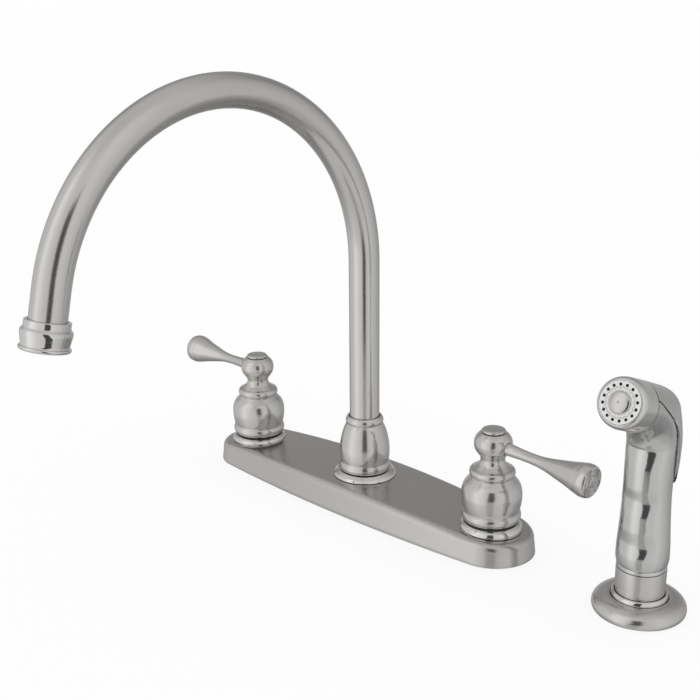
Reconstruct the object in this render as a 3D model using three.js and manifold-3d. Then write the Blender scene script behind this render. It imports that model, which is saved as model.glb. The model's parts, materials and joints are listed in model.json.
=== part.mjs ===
// Side spray kitchen faucet: deck plate, two lever handles, gooseneck spout, side spray.
// Millimetres. Origin on the deck under the spout axis, +X to the user's right (towards
// the spray), -Y to the user, +Z up.
import * as THREE from 'three';
import { mergeVertices } from 'three/addons/utils/BufferGeometryUtils.js';
import Module from 'manifold-3d';

const wasm = await Module();
wasm.setup();

// ---------------------------------------------------------------- driving dimensions

const HANDLE_SPACING = 203.2;      // between the two handle axes
const SPRAY_SPACING = 99.4;        // between the right handle's axis and the spray's
const DECK_THICKNESS = 25;         // counter clamped between gasket and washers
const GAP = 0.3;                   // clearance between pieces that touch
const RUNNING_GAP = 0.7;           // under a part that turns

const plate = {
  endMargin: 9.1,                  // past each handle, along the plate
  sideMargin: 12.2,                // and across it
  height: 18.6,                    // top of the crown, over the spout axis
  fall: 3.6,                       // how much lower the crown is at the handle axes
  edgeRadius: 4, draft: 1, wall: 2.4, ledge: 3, roof: 2.2,
};
const gasket = { thickness: 2, width: 6 };
const handle = { radius: 17.8, height: 54.2, ball: 11.15, capThickness: 1.7 };
const lever = { reach: 67.2, grip: 3.1, end: 9.6, droop: { hot: 0, cold: 3.5 } };
const ring = { handleHeight: 4.1, spoutHeight: 3.4 };
const shankLength = 48;
const tube = {
  radius: 9.45, wall: 1.2, riserTop: 157.8, archRadius: 109.6, archAngle: 167, straight: 17.9,
};
const spoutNut = { height: 35.8 };
const outlet = { length: 14.8, cover: 3 };
const spray = {
  radius: 13.35,                   // of the ferrule that stands in the holder
  turn: 4.6,                       // degrees the wand stands turned from straight ahead
  bodyBottom: 28, faceForward: 38.9, faceHeight: 128.4, faceTilt: 21.7, noseLength: 16.1,
};
const holder = { height: 8.7, ringHeight: 6, shankLength: 50 };
const face = { holes: 16, holeRadius: 0.85 };
const trigger = { wall: 1.2, press: 2.5 };   // press in degrees about the pin
const grip = { halfLength: 7.6, depth: 1.3 };
// Middle of each finger grip as a share of the wand's height, and where in it it is deepest
const grips = [[0.14, 0.45], [0.368, 0.7], [0.628, 0.86]];

// Counts of sides on round pieces
const LARGE = 16;
const MEDIUM = 12;
const SMALL = 8;

// ---------------------------------------------------------------- sizes that follow

const handleX = HANDLE_SPACING / 2;
const sprayX = handleX + SPRAY_SPACING;
const plateWidth = 2 * (handle.radius + plate.sideMargin);
const endRadius = plateWidth / 2.4;
const plateTop = (x) => plate.height - plate.fall * (x / handleX) ** 2;
const plateUnder = (x) => plateTop(x) - plate.roof;

// Valve below each handle, as shares of the handle's radius
const valve = {
  shank: 0.58 * handle.radius, body: 0.742 * handle.radius, boss: 0.854 * handle.radius,
  thread: 0.63 * handle.radius, bore: 0.522 * handle.radius, waterway: 0.337 * handle.radius,
  nut: 0.775 * handle.radius, spindle: 0.292 * handle.radius, neck: 0.393 * handle.radius,
};
const hubCavity = 0.8 * handle.radius;
const stemRadius = 0.36 * handle.ball;
const baseRingTop = plateTop(handleX) + ring.handleHeight;
const handleBottom = baseRingTop + RUNNING_GAP;
const handleAt = (share) => handleBottom + share * handle.height;
const leverHeight = handleAt(0.858);
const leverRoot = 0.32 * handle.ball;
const leverSeat = 0.771 * handle.ball;
const stemTop = handleAt(0.745);
const screwSeat = handleAt(0.847);

const crossoverRadius = 0.33 * plateUnder(handleX);
const crossoverHeight = plateUnder(handleX) - crossoverRadius - 0.1;

// Hub of the spout, as additions to the tube's radius
const hub = {
  bore: tube.radius + 2.2, radius: tube.radius + 3.9, boss: tube.radius + 5.8,
  chamber: 0.6 * tube.radius, nipple: 0.714 * tube.radius, waterway: 0.4 * tube.radius,
};
const spoutRingTop = plate.height + ring.spoutHeight;
const spoutNutBottom = spoutRingTop + GAP;
const spoutAt = (share) => spoutNutBottom + share * spoutNut.height;
const hubTop = spoutAt(0.427);
const chamberTop = plateUnder(hub.boss) - 0.4;

const washerTop = -DECK_THICKNESS - GAP;
const washerThickness = 2;
const nutTop = washerTop - washerThickness - GAP;

// ---------------------------------------------------------------- finishes

const finish = (color, roughness, metalness) => ({ color, roughness, metalness });
const BRUSHED = finish(0xa5a29c, 0.38, 1);
const POLISHED = finish(0xd2d0cc, 0.12, 1);
const BRASS = finish(0xb08d4c, 0.4, 1);
const COPPER = finish(0xb4704a, 0.35, 1);
const STEEL = finish(0x9a9a98, 0.35, 1);
const WHITE = finish(0xf0eeea, 0.35, 0);
const NYLON = finish(0xd8d6d0, 0.5, 0);
const RUBBER = finish(0x1b1b1c, 0.8, 0);

// ---------------------------------------------------------------- solids

// A closed mesh as a solid, turned right way out.
function solid(geometry) {
  const bare = geometry.clone();
  bare.deleteAttribute('normal');
  bare.deleteAttribute('uv');
  const merged = mergeVertices(bare, 1e-4);
  const corners = merged.attributes.position;
  const triangles = [];
  let volume = 0;
  const [p, q, r] = [new THREE.Vector3(), new THREE.Vector3(), new THREE.Vector3()];
  for (let i = 0; i < merged.index.count; i += 3) {
    const [a, b, c] = [0, 1, 2].map((k) => merged.index.getX(i + k));
    if (a === b || b === c || c === a) continue;
    triangles.push(a, b, c);
    p.fromBufferAttribute(corners, a);
    q.fromBufferAttribute(corners, b);
    r.fromBufferAttribute(corners, c);
    volume += p.dot(q.cross(r));
  }
  if (volume < 0) triangles.reverse();
  return new wasm.Manifold(new wasm.Mesh({
    numProp: 3,
    vertProperties: new Float32Array(corners.array),
    triVerts: new Uint32Array(triangles),
  }));
}

function surfaceOf(body) {
  const mesh = body.getMesh();
  const geometry = new THREE.BufferGeometry();
  geometry.setAttribute('position', new THREE.BufferAttribute(new Float32Array(mesh.vertProperties), 3));
  geometry.setIndex(new THREE.BufferAttribute(new Uint32Array(mesh.triVerts), 1));
  geometry.computeVertexNormals();
  return geometry;
}

const cut = (body, ...tools) => tools.reduce((left, tool) => left.subtract(tool), body);
const join = (body, ...more) => more.reduce((sum, piece) => sum.add(piece), body);

// A profile of [radius, height] corners turned round Z.
function turned(profile, sides = LARGE) {
  const points = profile.map(([radius, height]) => new THREE.Vector2(radius, height));
  const onAxis = profile[0][0] === 0 && profile.at(-1)[0] === 0;
  if (!onAxis) points.push(points[0].clone());
  return solid(new THREE.LatheGeometry(points, sides).rotateX(Math.PI / 2));
}

const rod = (radius, bottom, top, sides = LARGE) =>
  turned([[0, bottom], [radius, bottom], [radius, top], [0, top]], sides);

const pipe = (radius, bore, bottom, top, sides = LARGE) =>
  turned([[bore, bottom], [radius, bottom], [radius, top], [bore, top]], sides);

function ringOfPoints(radiusAt, count, start = 0) {
  return Array.from({ length: count }, (_, i) => {
    const angle = start + (2 * Math.PI * i) / count;
    return new THREE.Vector2(radiusAt(angle) * Math.cos(angle), radiusAt(angle) * Math.sin(angle));
  });
}

// A flat outline, with holes, raised from one height to another.
function raised(outline, bottom, top, holes = []) {
  const shape = new THREE.Shape(outline);
  shape.holes = holes.map((points) => new THREE.Path(points));
  const geometry = new THREE.ExtrudeGeometry(shape, { depth: top - bottom, bevelEnabled: false });
  return solid(geometry.translate(0, 0, bottom));
}

// A side view in the YZ plane given width along X, with rounded long edges.
function sideways(outline, halfWidth, bevel = 0) {
  const shape = new THREE.Shape(outline.map(([y, z]) => new THREE.Vector2(y, z)));
  const geometry = new THREE.ExtrudeGeometry(shape, {
    depth: 2 * (halfWidth - bevel),
    bevelEnabled: bevel > 0, bevelThickness: bevel, bevelSize: bevel, bevelOffset: -bevel,
    bevelSegments: 2,
  });
  geometry.translate(0, 0, -(halfWidth - bevel));
  return solid(geometry.rotateY(Math.PI / 2).rotateX(Math.PI / 2));
}

// A round body whose axis bends in the YZ plane; stations are { y, z, r }. A dent takes off
// some radius, by how far round to the front a corner is and how high.
function bent(stations, stepsPerSpan, sides, dent = () => 0) {
  const axis = new THREE.SplineCurve(stations.map(({ y, z }) => new THREE.Vector2(y, z)));
  const girth = new THREE.SplineCurve(stations.map(({ r }, i) => new THREE.Vector2(i, r)));
  const steps = (stations.length - 1) * stepsPerSpan;
  const geometry = new THREE.CylinderGeometry(1, 1, 1, sides, steps);
  const place = geometry.attributes.position;
  for (let i = 0; i < place.count; i += 1) {
    const t = THREE.MathUtils.clamp(Math.round((place.getY(i) + 0.5) * steps) / steps, 0, 1);
    const centre = axis.getPoint(t);
    const along = axis.getTangent(t);
    const radius = girth.getPoint(t).y - dent(-place.getZ(i), centre.y);
    const across = place.getX(i) * radius;
    const back = place.getZ(i) * radius;
    place.setXYZ(i, across, centre.x + back * along.y, centre.y - back * along.x);
  }
  return solid(geometry);
}

const alongX = (body) => body.rotate([0, 90, 0]);
const alongY = (body) => body.rotate([-90, 0, 0]);

// ---------------------------------------------------------------- scene

const faucet = new THREE.Group();

function add(group, name, body, look) {
  const material = new THREE.MeshStandardMaterial(look);
  const mesh = new THREE.Mesh(surfaceOf(body), material);
  mesh.name = name;
  group.add(mesh);
}

function groupAt(parent, [x, y, z], turnX = 0, turnZ = 0) {
  const group = new THREE.Group();
  group.position.set(x, y, z);
  group.rotation.set(turnX, 0, turnZ);
  parent.add(group);
  return group;
}

// ---------------------------------------------------------------- deck plate

// Half of the plate's outline, from its right tip over the back to its left tip: two end
// arcs and one large side arc that runs into both.
function plateHalfOutline(inset) {
  const endX = handleX + handle.radius + plate.endMargin - endRadius;
  const half = plateWidth / 2;
  const sideRadius = (endX ** 2 + half ** 2 - endRadius ** 2) / (2 * (half - endRadius));
  const meeting = Math.atan2(sideRadius - half, endX);
  const points = [];
  const endSteps = 5;
  const sideSteps = 9;
  for (let i = 0; i < endSteps; i += 1) {
    const angle = (meeting * i) / endSteps;
    const radius = endRadius - inset;
    points.push([endX + radius * Math.cos(angle), radius * Math.sin(angle)]);
  }
  for (let i = 0; i <= sideSteps; i += 1) {
    const angle = meeting + ((Math.PI - 2 * meeting) * i) / sideSteps;
    const radius = sideRadius - inset;
    points.push([radius * Math.cos(angle), half - sideRadius + radius * Math.sin(angle)]);
  }
  for (let i = endSteps - 1; i >= 0; i -= 1) {
    points.push([-points[i][0], points[i][1]]);
  }
  return points;
}

// A block on the plate's outline. Each row is an inset and a height over X; the first row
// is the underside and the last one is the top.
function plateBlock(rows) {
  const positions = [];
  const index = [];
  const halves = plateHalfOutline(0).length;
  const round = 2 * halves - 2;
  for (const { inset, height } of rows) {
    const back = plateHalfOutline(inset);
    const front = back.slice(1, -1).reverse().map(([x, y]) => [x, -y]);
    for (const [x, y] of [...back, ...front]) positions.push(x, y, height(x));
  }
  for (let row = 0; row < rows.length - 1; row += 1) {
    for (let i = 0; i < round; i += 1) {
      const [a, b] = [row * round + i, row * round + ((i + 1) % round)];
      index.push(a, b, b + round, a, b + round, a + round);
    }
  }
  const cap = (start, up) => {
    for (let i = 0; i < halves - 1; i += 1) {
      const [a, b] = [start + i, start + i + 1];
      const [c, d] = [start + ((round - i - 1) % round), start + ((round - i) % round)];
      if (up) index.push(a, b, c, a, c, d);
      else index.push(a, c, b, a, d, c);
    }
  };
  cap(0, false);
  cap((rows.length - 1) * round, true);
  const geometry = new THREE.BufferGeometry();
  geometry.setAttribute('position', new THREE.Float32BufferAttribute(positions, 3));
  geometry.setIndex(index);
  return solid(geometry);
}

const level = (z) => () => z;
const plateSlab = (inset, bottom, height) =>
  plateBlock([{ inset, height: level(bottom) }, { inset, height }]);

function deckPlate() {
  const shoulder = [0, 1, 2, 3].map((step) => {
    const angle = (step * Math.PI) / 6;
    return {
      inset: plate.draft + plate.edgeRadius * (1 - Math.cos(angle)),
      height: (x) => plateTop(x) - plate.edgeRadius * (1 - Math.sin(angle)),
    };
  });
  const skin = plateBlock([{ inset: 0, height: level(GAP) }, ...shoulder]);
  const cavity = plateSlab(plate.wall + plate.ledge, -1, plateUnder);
  const recess = plateSlab(plate.wall, -1, level(gasket.thickness + GAP));
  const hole = (x, radius) => rod(radius, 0, plate.height + 1).translate([x, 0, 0]);
  const handleHole = valve.body + GAP;
  return cut(
    skin, cavity, recess,
    hole(-handleX, handleHole), hole(handleX, handleHole), hole(0, hub.radius + GAP),
  );
}

function deckGasket() {
  const inset = plate.wall + GAP;
  const bosses = [-handleX, handleX].map((x) =>
    rod(valve.boss + GAP, -1, gasket.thickness + 1).translate([x, 0, 0]));
  return cut(
    plateSlab(inset, 0, level(gasket.thickness)),
    plateSlab(inset + gasket.width, -1, level(gasket.thickness + 1)),
    ...bosses,
  );
}

// What a base ring loses underneath, so that it follows the crown of the plate.
const crownUnder = plateSlab(0, 0, (x) => plateTop(x) + GAP);

const ringProfile = (radius, bore, bottom, top) => [
  [bore, bottom], [radius, bottom], [radius, top - 2.9], [radius - 0.7, top - 1.9],
  [radius - 1.5, top - 0.6], [radius - 2, top], [bore, top],
];

add(faucet, 'deck_plate', deckPlate(), BRUSHED);
add(faucet, 'deck_gasket', deckGasket(), RUBBER);

// ---------------------------------------------------------------- below the deck

// A clamping nut with rounded lobes for the fingers.
function lobedNut(bore, height) {
  const lobes = (angle) => bore + 7.5 + 2.2 * Math.cos(4 * angle);
  const block = raised(ringOfPoints(lobes, 32), nutTop - height, nutTop);
  return cut(block, rod(bore, nutTop - height - 1, nutTop + 1));
}

const deckWasher = (radius, bore) =>
  pipe(radius, bore, washerTop - washerThickness, washerTop);

// ---------------------------------------------------------------- one handle and its valve
// Built with the lever towards +X; the hot side is the same assembly turned half round.

function valveBody() {
  const { shank, body, boss, thread, bore, waterway } = valve;
  const bossTop = plateUnder(handleX + boss) - 0.4;
  const seat = handleAt(0.004);
  const top = handleAt(0.17);
  const shape = turned([
    [shank, -shankLength], [shank, 0.6], [boss, 0.6], [boss, bossTop], [body, bossTop],
    [body, seat], [thread, seat], [thread, top], [bore, top], [bore, 5], [waterway, 5],
    [waterway, -shankLength],
  ]);
  const port = alongX(rod(crossoverRadius + GAP, -boss - 1, -bore + 1, SMALL));
  return cut(shape, port.translate([0, 0, crossoverHeight]));
}

const cartridgeFlange = handleAt(0.175);

function cartridge() {
  const bore = valve.spindle + GAP;
  const radius = valve.bore - GAP;
  const top = cartridgeFlange + 2;
  const shape = turned([
    [bore, 5 + GAP], [radius, 5 + GAP], [radius, cartridgeFlange],
    [valve.thread, cartridgeFlange], [valve.thread, top], [valve.neck, top],
    [valve.neck, handleAt(0.286)], [bore, handleAt(0.286)],
  ], MEDIUM);
  const window = alongX(rod(3, -radius - 1, -bore + 1, 8));
  return cut(shape, window.translate([0, 0, crossoverHeight + 2]));
}

function bonnetNut() {
  const corner = valve.nut;
  const bottom = handleAt(0.013);
  const lip = cartridgeFlange + 2 + GAP;
  const top = handleAt(0.262);
  const block = raised(ringOfPoints(() => corner, 6), bottom, top);
  const envelope = turned([
    [0, bottom - 1], [corner, bottom - 1], [corner, top - 1], [corner - 1.8, top + 0.1],
    [0, top + 0.1],
  ]);
  return cut(
    block.intersect(envelope),
    rod(valve.thread + GAP, bottom - 1, lip),
    rod(valve.neck + GAP, bottom - 1, top + 1, MEDIUM),
  );
}

function valveStem() {
  const shoulder = handleAt(0.323);
  const teeth = 12;
  const depth = 0.06 * stemRadius;
  const spline = ringOfPoints((angle) => stemRadius - depth + depth * Math.cos(teeth * angle), 24);
  return cut(
    join(rod(valve.spindle, 6, shoulder, MEDIUM), raised(spline, shoulder, stemTop)),
    rod(0.5 * stemRadius, stemTop - 10.7, stemTop + 1, 10),
  );
}

function handleBaseRing() {
  const shape = turned(ringProfile(1.045 * handle.radius, valve.body + GAP, 5, baseRingTop));
  return cut(shape.translate([handleX, 0, 0]), crownUnder).translate([-handleX, 0, 0]);
}

// Lays a piece on the lever's axis, which droops from where the lever leaves the ball.
const onLeverAxis = (piece, droop) => alongX(piece).translate([-leverSeat, 0, 0])
  .rotate([0, droop, 0]).translate([leverSeat, 0, leverHeight]);

// The turned hub: bead, belly, collar, neck and ball in one outline, hollow over the valve.
function handleHub(droop) {
  const wide = (share) => share * handle.radius;
  const slim = (share) => share * handle.ball;
  const outside = [
    [0.915, 0], [0.966, 0.019], [0.983, 0.063], [0.966, 0.09], [0.941, 0.116],
    [0.966, 0.17], [0.99, 0.23], [1, 0.29], [0.989, 0.345], [0.95, 0.395], [0.88, 0.437],
    [0.77, 0.476], [0.704, 0.507], [0.746, 0.537], [0.746, 0.566], [0.705, 0.59],
  ].map(([r, z]) => [wide(r), handleAt(z)]);
  const neck = [
    [0.93, 0.612], [0.78, 0.638], [0.68, 0.662], [0.637, 0.695], [0.67, 0.728], [0.79, 0.765],
    [0.92, 0.803], [0.985, 0.843], [1, 0.882], [0.975, 0.919], [0.88, 0.96], [0.69, 1],
  ].map(([r, z]) => [slim(r), handleAt(z)]);
  const bore = stemRadius + GAP;
  const inside = [
    [0, handleAt(1)], [0, stemTop + GAP], [bore, stemTop + GAP], [bore, handleAt(0.5)],
    [wide(0.54), handleAt(0.45)], [hubCavity, handleAt(0.33)], [hubCavity, handleAt(0)],
  ];
  const body = turned([...outside, ...neck, ...inside]);
  const screwHole = rod(0.233 * handle.ball, stemTop, handleAt(1) + 1, SMALL);
  const capSeat = rod(0.466 * handle.ball, screwSeat, handleAt(1) + 1, SMALL);
  const leverSpot = rod(leverRoot + GAP, leverSeat, handle.ball + 3, MEDIUM);
  const leverHole = rod(2.5, 0.53 * handle.ball, leverSeat + 1, 10);
  return cut(
    body, screwHole, capSeat, onLeverAxis(leverSpot, droop), onLeverAxis(leverHole, droop),
  );
}

// A slim grip that opens into a trumpet end.
function handleLever(droop) {
  const { reach, grip, end } = lever;
  const start = leverSeat + GAP;
  const peg = 0.565 * handle.ball;
  const outline = [
    [1.19, 0.05], [1.1, 0.12], [1, 0.24], [1.03, 0.36], [1.2, 0.455], [1.5, 0.54], [1.92, 0.64],
    [2.38, 0.745], [2.8, 0.82], [3.07, 0.88], [3.2, 0.928], [3.18, 0.956], [3.02, 0.981],
    [2.7, 0.997], [2.35, 1], [2.2, 0.988],
  ].map(([width, along]) => [
    THREE.MathUtils.mapLinear(width, 1, 3.2, grip, end),
    THREE.MathUtils.lerp(start, reach, along),
  ]);
  return onLeverAxis(turned([
    [0, peg], [2.2, peg], [2.2, start], [leverRoot, start], ...outline,
    [0, outline.at(-1)[1]],
  ], MEDIUM), droop);
}

function handleScrew() {
  const head = 0.36 * handle.ball;
  const shape = turned([
    [0, screwSeat + GAP], [head, screwSeat + GAP], [head, screwSeat + 2.4],
    [0.8 * head, screwSeat + 3.2], [0, screwSeat + 3.2],
  ], SMALL);
  const shank = rod(0.42 * stemRadius, stemTop - 10, screwSeat + 1, 10);
  const socket = raised(ringOfPoints(() => 0.4 * head, 6), screwSeat + 1.4, screwSeat + 4);
  return cut(join(shape, shank), socket);
}

function handleCap() {
  const bottom = handleAt(1) + GAP;
  const top = bottom + handle.capThickness;
  const radius = 0.62 * handle.ball;
  const spigot = 0.43 * handle.ball;
  return turned([
    [0, screwSeat + 4.2], [spigot, screwSeat + 4.2], [spigot, bottom], [radius - 0.2, bottom],
    [radius, bottom + 0.5], [radius - 0.2, top - 0.4], [radius - 0.8, top], [0, top],
  ], MEDIUM);
}

for (const [side, x, turn] of [['hot', -handleX, Math.PI], ['cold', handleX, 0]]) {
  const place = groupAt(faucet, [x, 0, 0], 0, turn);
  add(place, `${side}_valve_body`, valveBody(), BRASS);
  add(place, `${side}_cartridge`, cartridge(), BRASS);
  add(place, `${side}_bonnet_nut`, bonnetNut(), BRASS);
  add(place, `${side}_stem`, valveStem(), BRASS);
  add(place, `${side}_base_ring`, handleBaseRing(), POLISHED);
  add(place, `${side}_handle_hub`, handleHub(lever.droop[side]), BRUSHED);
  add(place, `${side}_lever`, handleLever(lever.droop[side]), BRUSHED);
  add(place, `${side}_handle_screw`, handleScrew(), STEEL);
  add(place, `${side}_index_cap`, handleCap(), BRUSHED);
  add(place, `${side}_shank_washer`, deckWasher(2 * valve.shank, valve.shank + GAP), STEEL);
  add(place, `${side}_mounting_nut`, lobedNut(valve.shank + GAP, 12), BRASS);
}

// ---------------------------------------------------------------- spout hub and crossovers

const socketStart = hub.bore - 0.7;

function spoutHub() {
  const { bore, radius, boss, chamber, nipple, waterway } = hub;
  const shape = turned([
    [nipple, -shankLength + 10], [nipple, 0.6], [boss, 0.6], [boss, chamberTop],
    [radius, chamberTop], [radius, hubTop], [bore, hubTop], [bore, chamberTop],
    [chamber, chamberTop], [chamber, 5], [waterway, 5], [waterway, -shankLength + 10],
  ]);
  const lift = [0, 0, crossoverHeight];
  const sockets = [0, 180].map((side) =>
    alongX(rod(crossoverRadius + GAP, socketStart, boss + 1, SMALL)).rotate([0, 0, side]));
  const way = alongX(rod(0.76 * crossoverRadius, -socketStart - 1, socketStart + 1, SMALL));
  return cut(shape, way.translate(lift), ...sockets.map((socket) => socket.translate(lift)));
}

function crossoverTube() {
  const end = handleX - valve.bore - 1.5;
  const bore = 0.76 * crossoverRadius;
  return alongX(pipe(crossoverRadius, bore, socketStart + GAP, end, SMALL))
    .translate([0, 0, crossoverHeight]);
}

function diverter() {
  const radius = hub.chamber - GAP;
  const bore = 0.55 * hub.chamber;
  const shape = turned([
    [bore, 5 + GAP], [radius, 5 + GAP], [radius, chamberTop - 1], [radius - 1, chamberTop - 0.4],
    [bore, chamberTop - 0.4],
  ], SMALL);
  const ways = alongX(rod(1.8, -radius - 2, radius + 2, 8));
  return cut(shape, ways.translate([0, 0, crossoverHeight]));
}

const spoutBaseRing = () =>
  cut(turned(ringProfile(tube.radius + 11, hub.radius + GAP, 5, spoutRingTop)), crownUnder);

// The egg-shaped nut that traps the foot of the spout, with a bead and a rolled lip.
function spoutNutBody() {
  const out = (extra) => tube.radius + extra;
  const outside = [
    [6.1, 0], [6.75, 0.025], [6.9, 0.065], [6.7, 0.115], [6.1, 0.15], [6.05, 0.175],
    [6.35, 0.23], [6.5, 0.31], [6.5, 0.39], [6.25, 0.47], [5.8, 0.55], [5.05, 0.65],
    [4, 0.745], [2.8, 0.825], [2.1, 0.862], [2.2, 0.872], [2.5, 0.9], [2.5, 0.935],
    [1.9, 0.975], [1.1, 1], [0.5, 1],
  ].map(([r, z]) => [out(r), spoutAt(z)]);
  const ledge = spoutAt(0.533);
  return turned([
    ...outside, [out(GAP), spoutAt(0.98)], [out(GAP), spoutAt(0.69)],
    [hub.bore - GAP, spoutAt(0.69)], [hub.bore - GAP, ledge], [hub.radius + GAP, ledge],
    [hub.radius + GAP, spoutAt(0)],
  ]);
}

const slipWasher = () =>
  pipe(hub.radius - 0.2, hub.bore - 0.1, hubTop + GAP, hubTop + 1.3, LARGE);

add(faucet, 'spout_hub', spoutHub(), BRASS);
add(faucet, 'spray_diverter', diverter(), NYLON);
add(faucet, 'cold_crossover', crossoverTube(), COPPER);
add(groupAt(faucet, [0, 0, 0], 0, Math.PI), 'hot_crossover', crossoverTube(), COPPER);
add(faucet, 'spout_base_ring', spoutBaseRing(), POLISHED);
add(faucet, 'spout_nut', spoutNutBody(), BRUSHED);
add(faucet, 'spout_slip_washer', slipWasher(), NYLON);

// ---------------------------------------------------------------- spout

const footFlange = hubTop + 1.6;
const footTop = spoutAt(0.645);
const tubeSeat = spoutAt(0.21);
const footBottom = chamberTop + 0.4;
const grooveSpacing = (hubTop - footBottom) / 3;
const grooves = [footBottom + 0.7 * grooveSpacing, footBottom + 1.7 * grooveSpacing];
const oRingRadius = 0.95;

// The brazed foot of the spout tube, which turns in the hub on two O-rings.
function spoutFoot() {
  const outer = hub.bore - 0.4;
  const floor = hub.bore - 2 * oRingRadius - 2 * GAP;
  const seat = tube.radius + GAP;
  const bore = 0.787 * tube.radius;
  const steps = grooves.flatMap((groove) => [
    [outer, groove - oRingRadius - GAP], [floor, groove - oRingRadius - GAP],
    [floor, groove + oRingRadius + GAP], [outer, groove + oRingRadius + GAP],
  ]);
  return turned([
    [bore, footBottom], [outer, footBottom], ...steps, [outer, footFlange],
    [hub.radius - 0.6, footFlange], [hub.radius - 0.6, footFlange + 2],
    [hub.bore - 0.7, footFlange + 2], [hub.bore - 0.7, footTop], [seat, footTop],
    [seat, tubeSeat], [bore, tubeSeat],
  ], MEDIUM);
}

function oRing(groove) {
  const centre = hub.bore - GAP - oRingRadius;
  const section = ringOfPoints(() => oRingRadius, 6).map(({ x, y }) => [centre + x, groove + y]);
  return turned(section, MEDIUM);
}

function archPoint(degrees) {
  const angle = THREE.MathUtils.degToRad(degrees);
  return {
    y: tube.archRadius * (Math.cos(angle) - 1),
    z: tube.riserTop + tube.archRadius * Math.sin(angle),
  };
}

const archTilt = THREE.MathUtils.degToRad(tube.archAngle);

// A point on the spout's last straight, a distance past the end of the arch.
function pastArch(distance) {
  const { y, z } = archPoint(tube.archAngle);
  return { y: y - distance * Math.sin(archTilt), z: z + distance * Math.cos(archTilt) };
}

function spoutTube() {
  const steps = 20;
  const arch = Array.from({ length: steps + 1 }, (_, i) => archPoint((tube.archAngle * i) / steps));
  const swept = (r, past) => bent([
    { y: 0, z: tubeSeat + GAP - past }, ...arch, pastArch(tube.straight + past),
  ].map((at) => ({ ...at, r })), 1, MEDIUM);
  return cut(swept(tube.radius, 0), swept(tube.radius - tube.wall, 1));
}

// The outlet is built along its own +Z, which points out of the spout's mouth.
const collarRadius = tube.radius + 3.35;
const mouthEnd = outlet.length - outlet.cover;
const aeratorSeat = 3.6;

function outletCollar() {
  const out = (less) => collarRadius - less;
  const seat = tube.radius + GAP;
  const back = -outlet.cover;
  return turned([
    [seat, back], [out(1.75), back], [out(1.4), back + 0.4], [out(1.4), back + 3.5],
    [out(0.7), back + 4.2], [out(0.1), back + 5.1], [out(0.05), back + 6.4],
    [out(0.5), back + 9.6], [out(1), mouthEnd - 3], [out(0.9), mouthEnd - 2.4],
    [out(0.2), mouthEnd - 1.9], [out(0), mouthEnd - 1.1], [out(0.5), mouthEnd - 0.3],
    [out(1.3), mouthEnd], [out(2.4), mouthEnd], [out(2.4), aeratorSeat],
    [out(4.2), aeratorSeat], [out(4.2), GAP],
    [seat, GAP],
  ]);
}

function aeratorBody() {
  const radius = collarRadius - 2.4 - GAP;
  const bottom = mouthEnd - 0.8;
  return turned([
    [radius - 2.4, aeratorSeat + GAP], [radius, aeratorSeat + GAP], [radius, bottom],
    [radius - 1, bottom], [radius - 1, bottom - 2.6], [radius - 2.4, bottom - 2.6],
  ], LARGE);
}

// A perforated disc with rings of holes.
function aeratorScreen() {
  const radius = collarRadius - 3.4 - 2 * GAP;
  const top = mouthEnd - 3.4 + GAP;
  const holes = [ringOfPoints(() => 0.7, 5)];
  for (const [circle, count] of [[0.33, 6], [0.66, 12]]) {
    for (const at of ringOfPoints(() => circle * radius, count)) {
      holes.push(ringOfPoints(() => 0.7, 5).map((point) => point.add(at)));
    }
  }
  return raised(ringOfPoints(() => radius, MEDIUM), top, top + 1.2, holes);
}

add(faucet, 'spout_foot', spoutFoot(), BRASS);
add(faucet, 'lower_o_ring', oRing(grooves[0]), RUBBER);
add(faucet, 'upper_o_ring', oRing(grooves[1]), RUBBER);
add(faucet, 'spout_tube', spoutTube(), BRUSHED);

const tubeEnd = pastArch(tube.straight);
const mouth = groupAt(faucet, [0, tubeEnd.y, tubeEnd.z], archTilt);
add(mouth, 'outlet_collar', outletCollar(), POLISHED);
add(mouth, 'aerator_body', aeratorBody(), NYLON);
add(mouth, 'aerator_screen', aeratorScreen(), STEEL);

// ---------------------------------------------------------------- spray holder and ferrule

const ferrule = spray.radius;
const bushingBottom = 5;
const holderShank = 1.07 * ferrule;
const connectorTop = 0.7 * spray.bodyBottom;

function sprayHolder() {
  const out = (share) => share * ferrule;
  const { height } = holder;
  const seat = ferrule + 2.1;
  return turned([
    [holderShank, -holder.shankLength], [holderShank, 0], [out(1.8), 0], [out(1.858), 0.17 * height],
    [out(1.865), 0.37 * height], [out(1.81), 0.6 * height], [out(1.68), 0.8 * height],
    [out(1.46), 0.94 * height], [seat + 1.2, height], [seat, 0.96 * height],
    [seat, bushingBottom - GAP], [ferrule - 0.4, bushingBottom - GAP], [ferrule - 0.85, 0.6],
    [out(0.84), 0.6], [out(0.84), -holder.shankLength],
  ]);
}

function holderBushing() {
  const radius = ferrule + 1.8;
  const bore = ferrule + 0.25;
  const top = bushingBottom + holder.ringHeight;
  return turned([
    [bore, bushingBottom], [radius, bushingBottom], [radius, top - 2.2], [radius - 0.4, top - 0.6],
    [radius - 1, top], [bore, top],
  ]);
}

const ferruleTop = spray.bodyBottom - 2.8;
const swivelRadius = 0.71 * ferrule;
const connectorRadius = 0.6 * ferrule;
const waterRadius = 0.4 * ferrule;

function sprayFerrule() {
  const bore = connectorRadius + GAP;
  const neckTop = spray.bodyBottom + 7.5;
  return turned([
    [bore, 1], [ferrule - 1.45, 1], [ferrule - 0.85, 4.3], [ferrule - 0.25, 5.4],
    [ferrule - 0.15, 9], [ferrule, ferruleTop], [swivelRadius, ferruleTop],
    [swivelRadius, neckTop], [waterRadius, neckTop], [waterRadius, connectorTop + GAP],
    [bore, connectorTop + GAP],
  ]);
}

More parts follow.
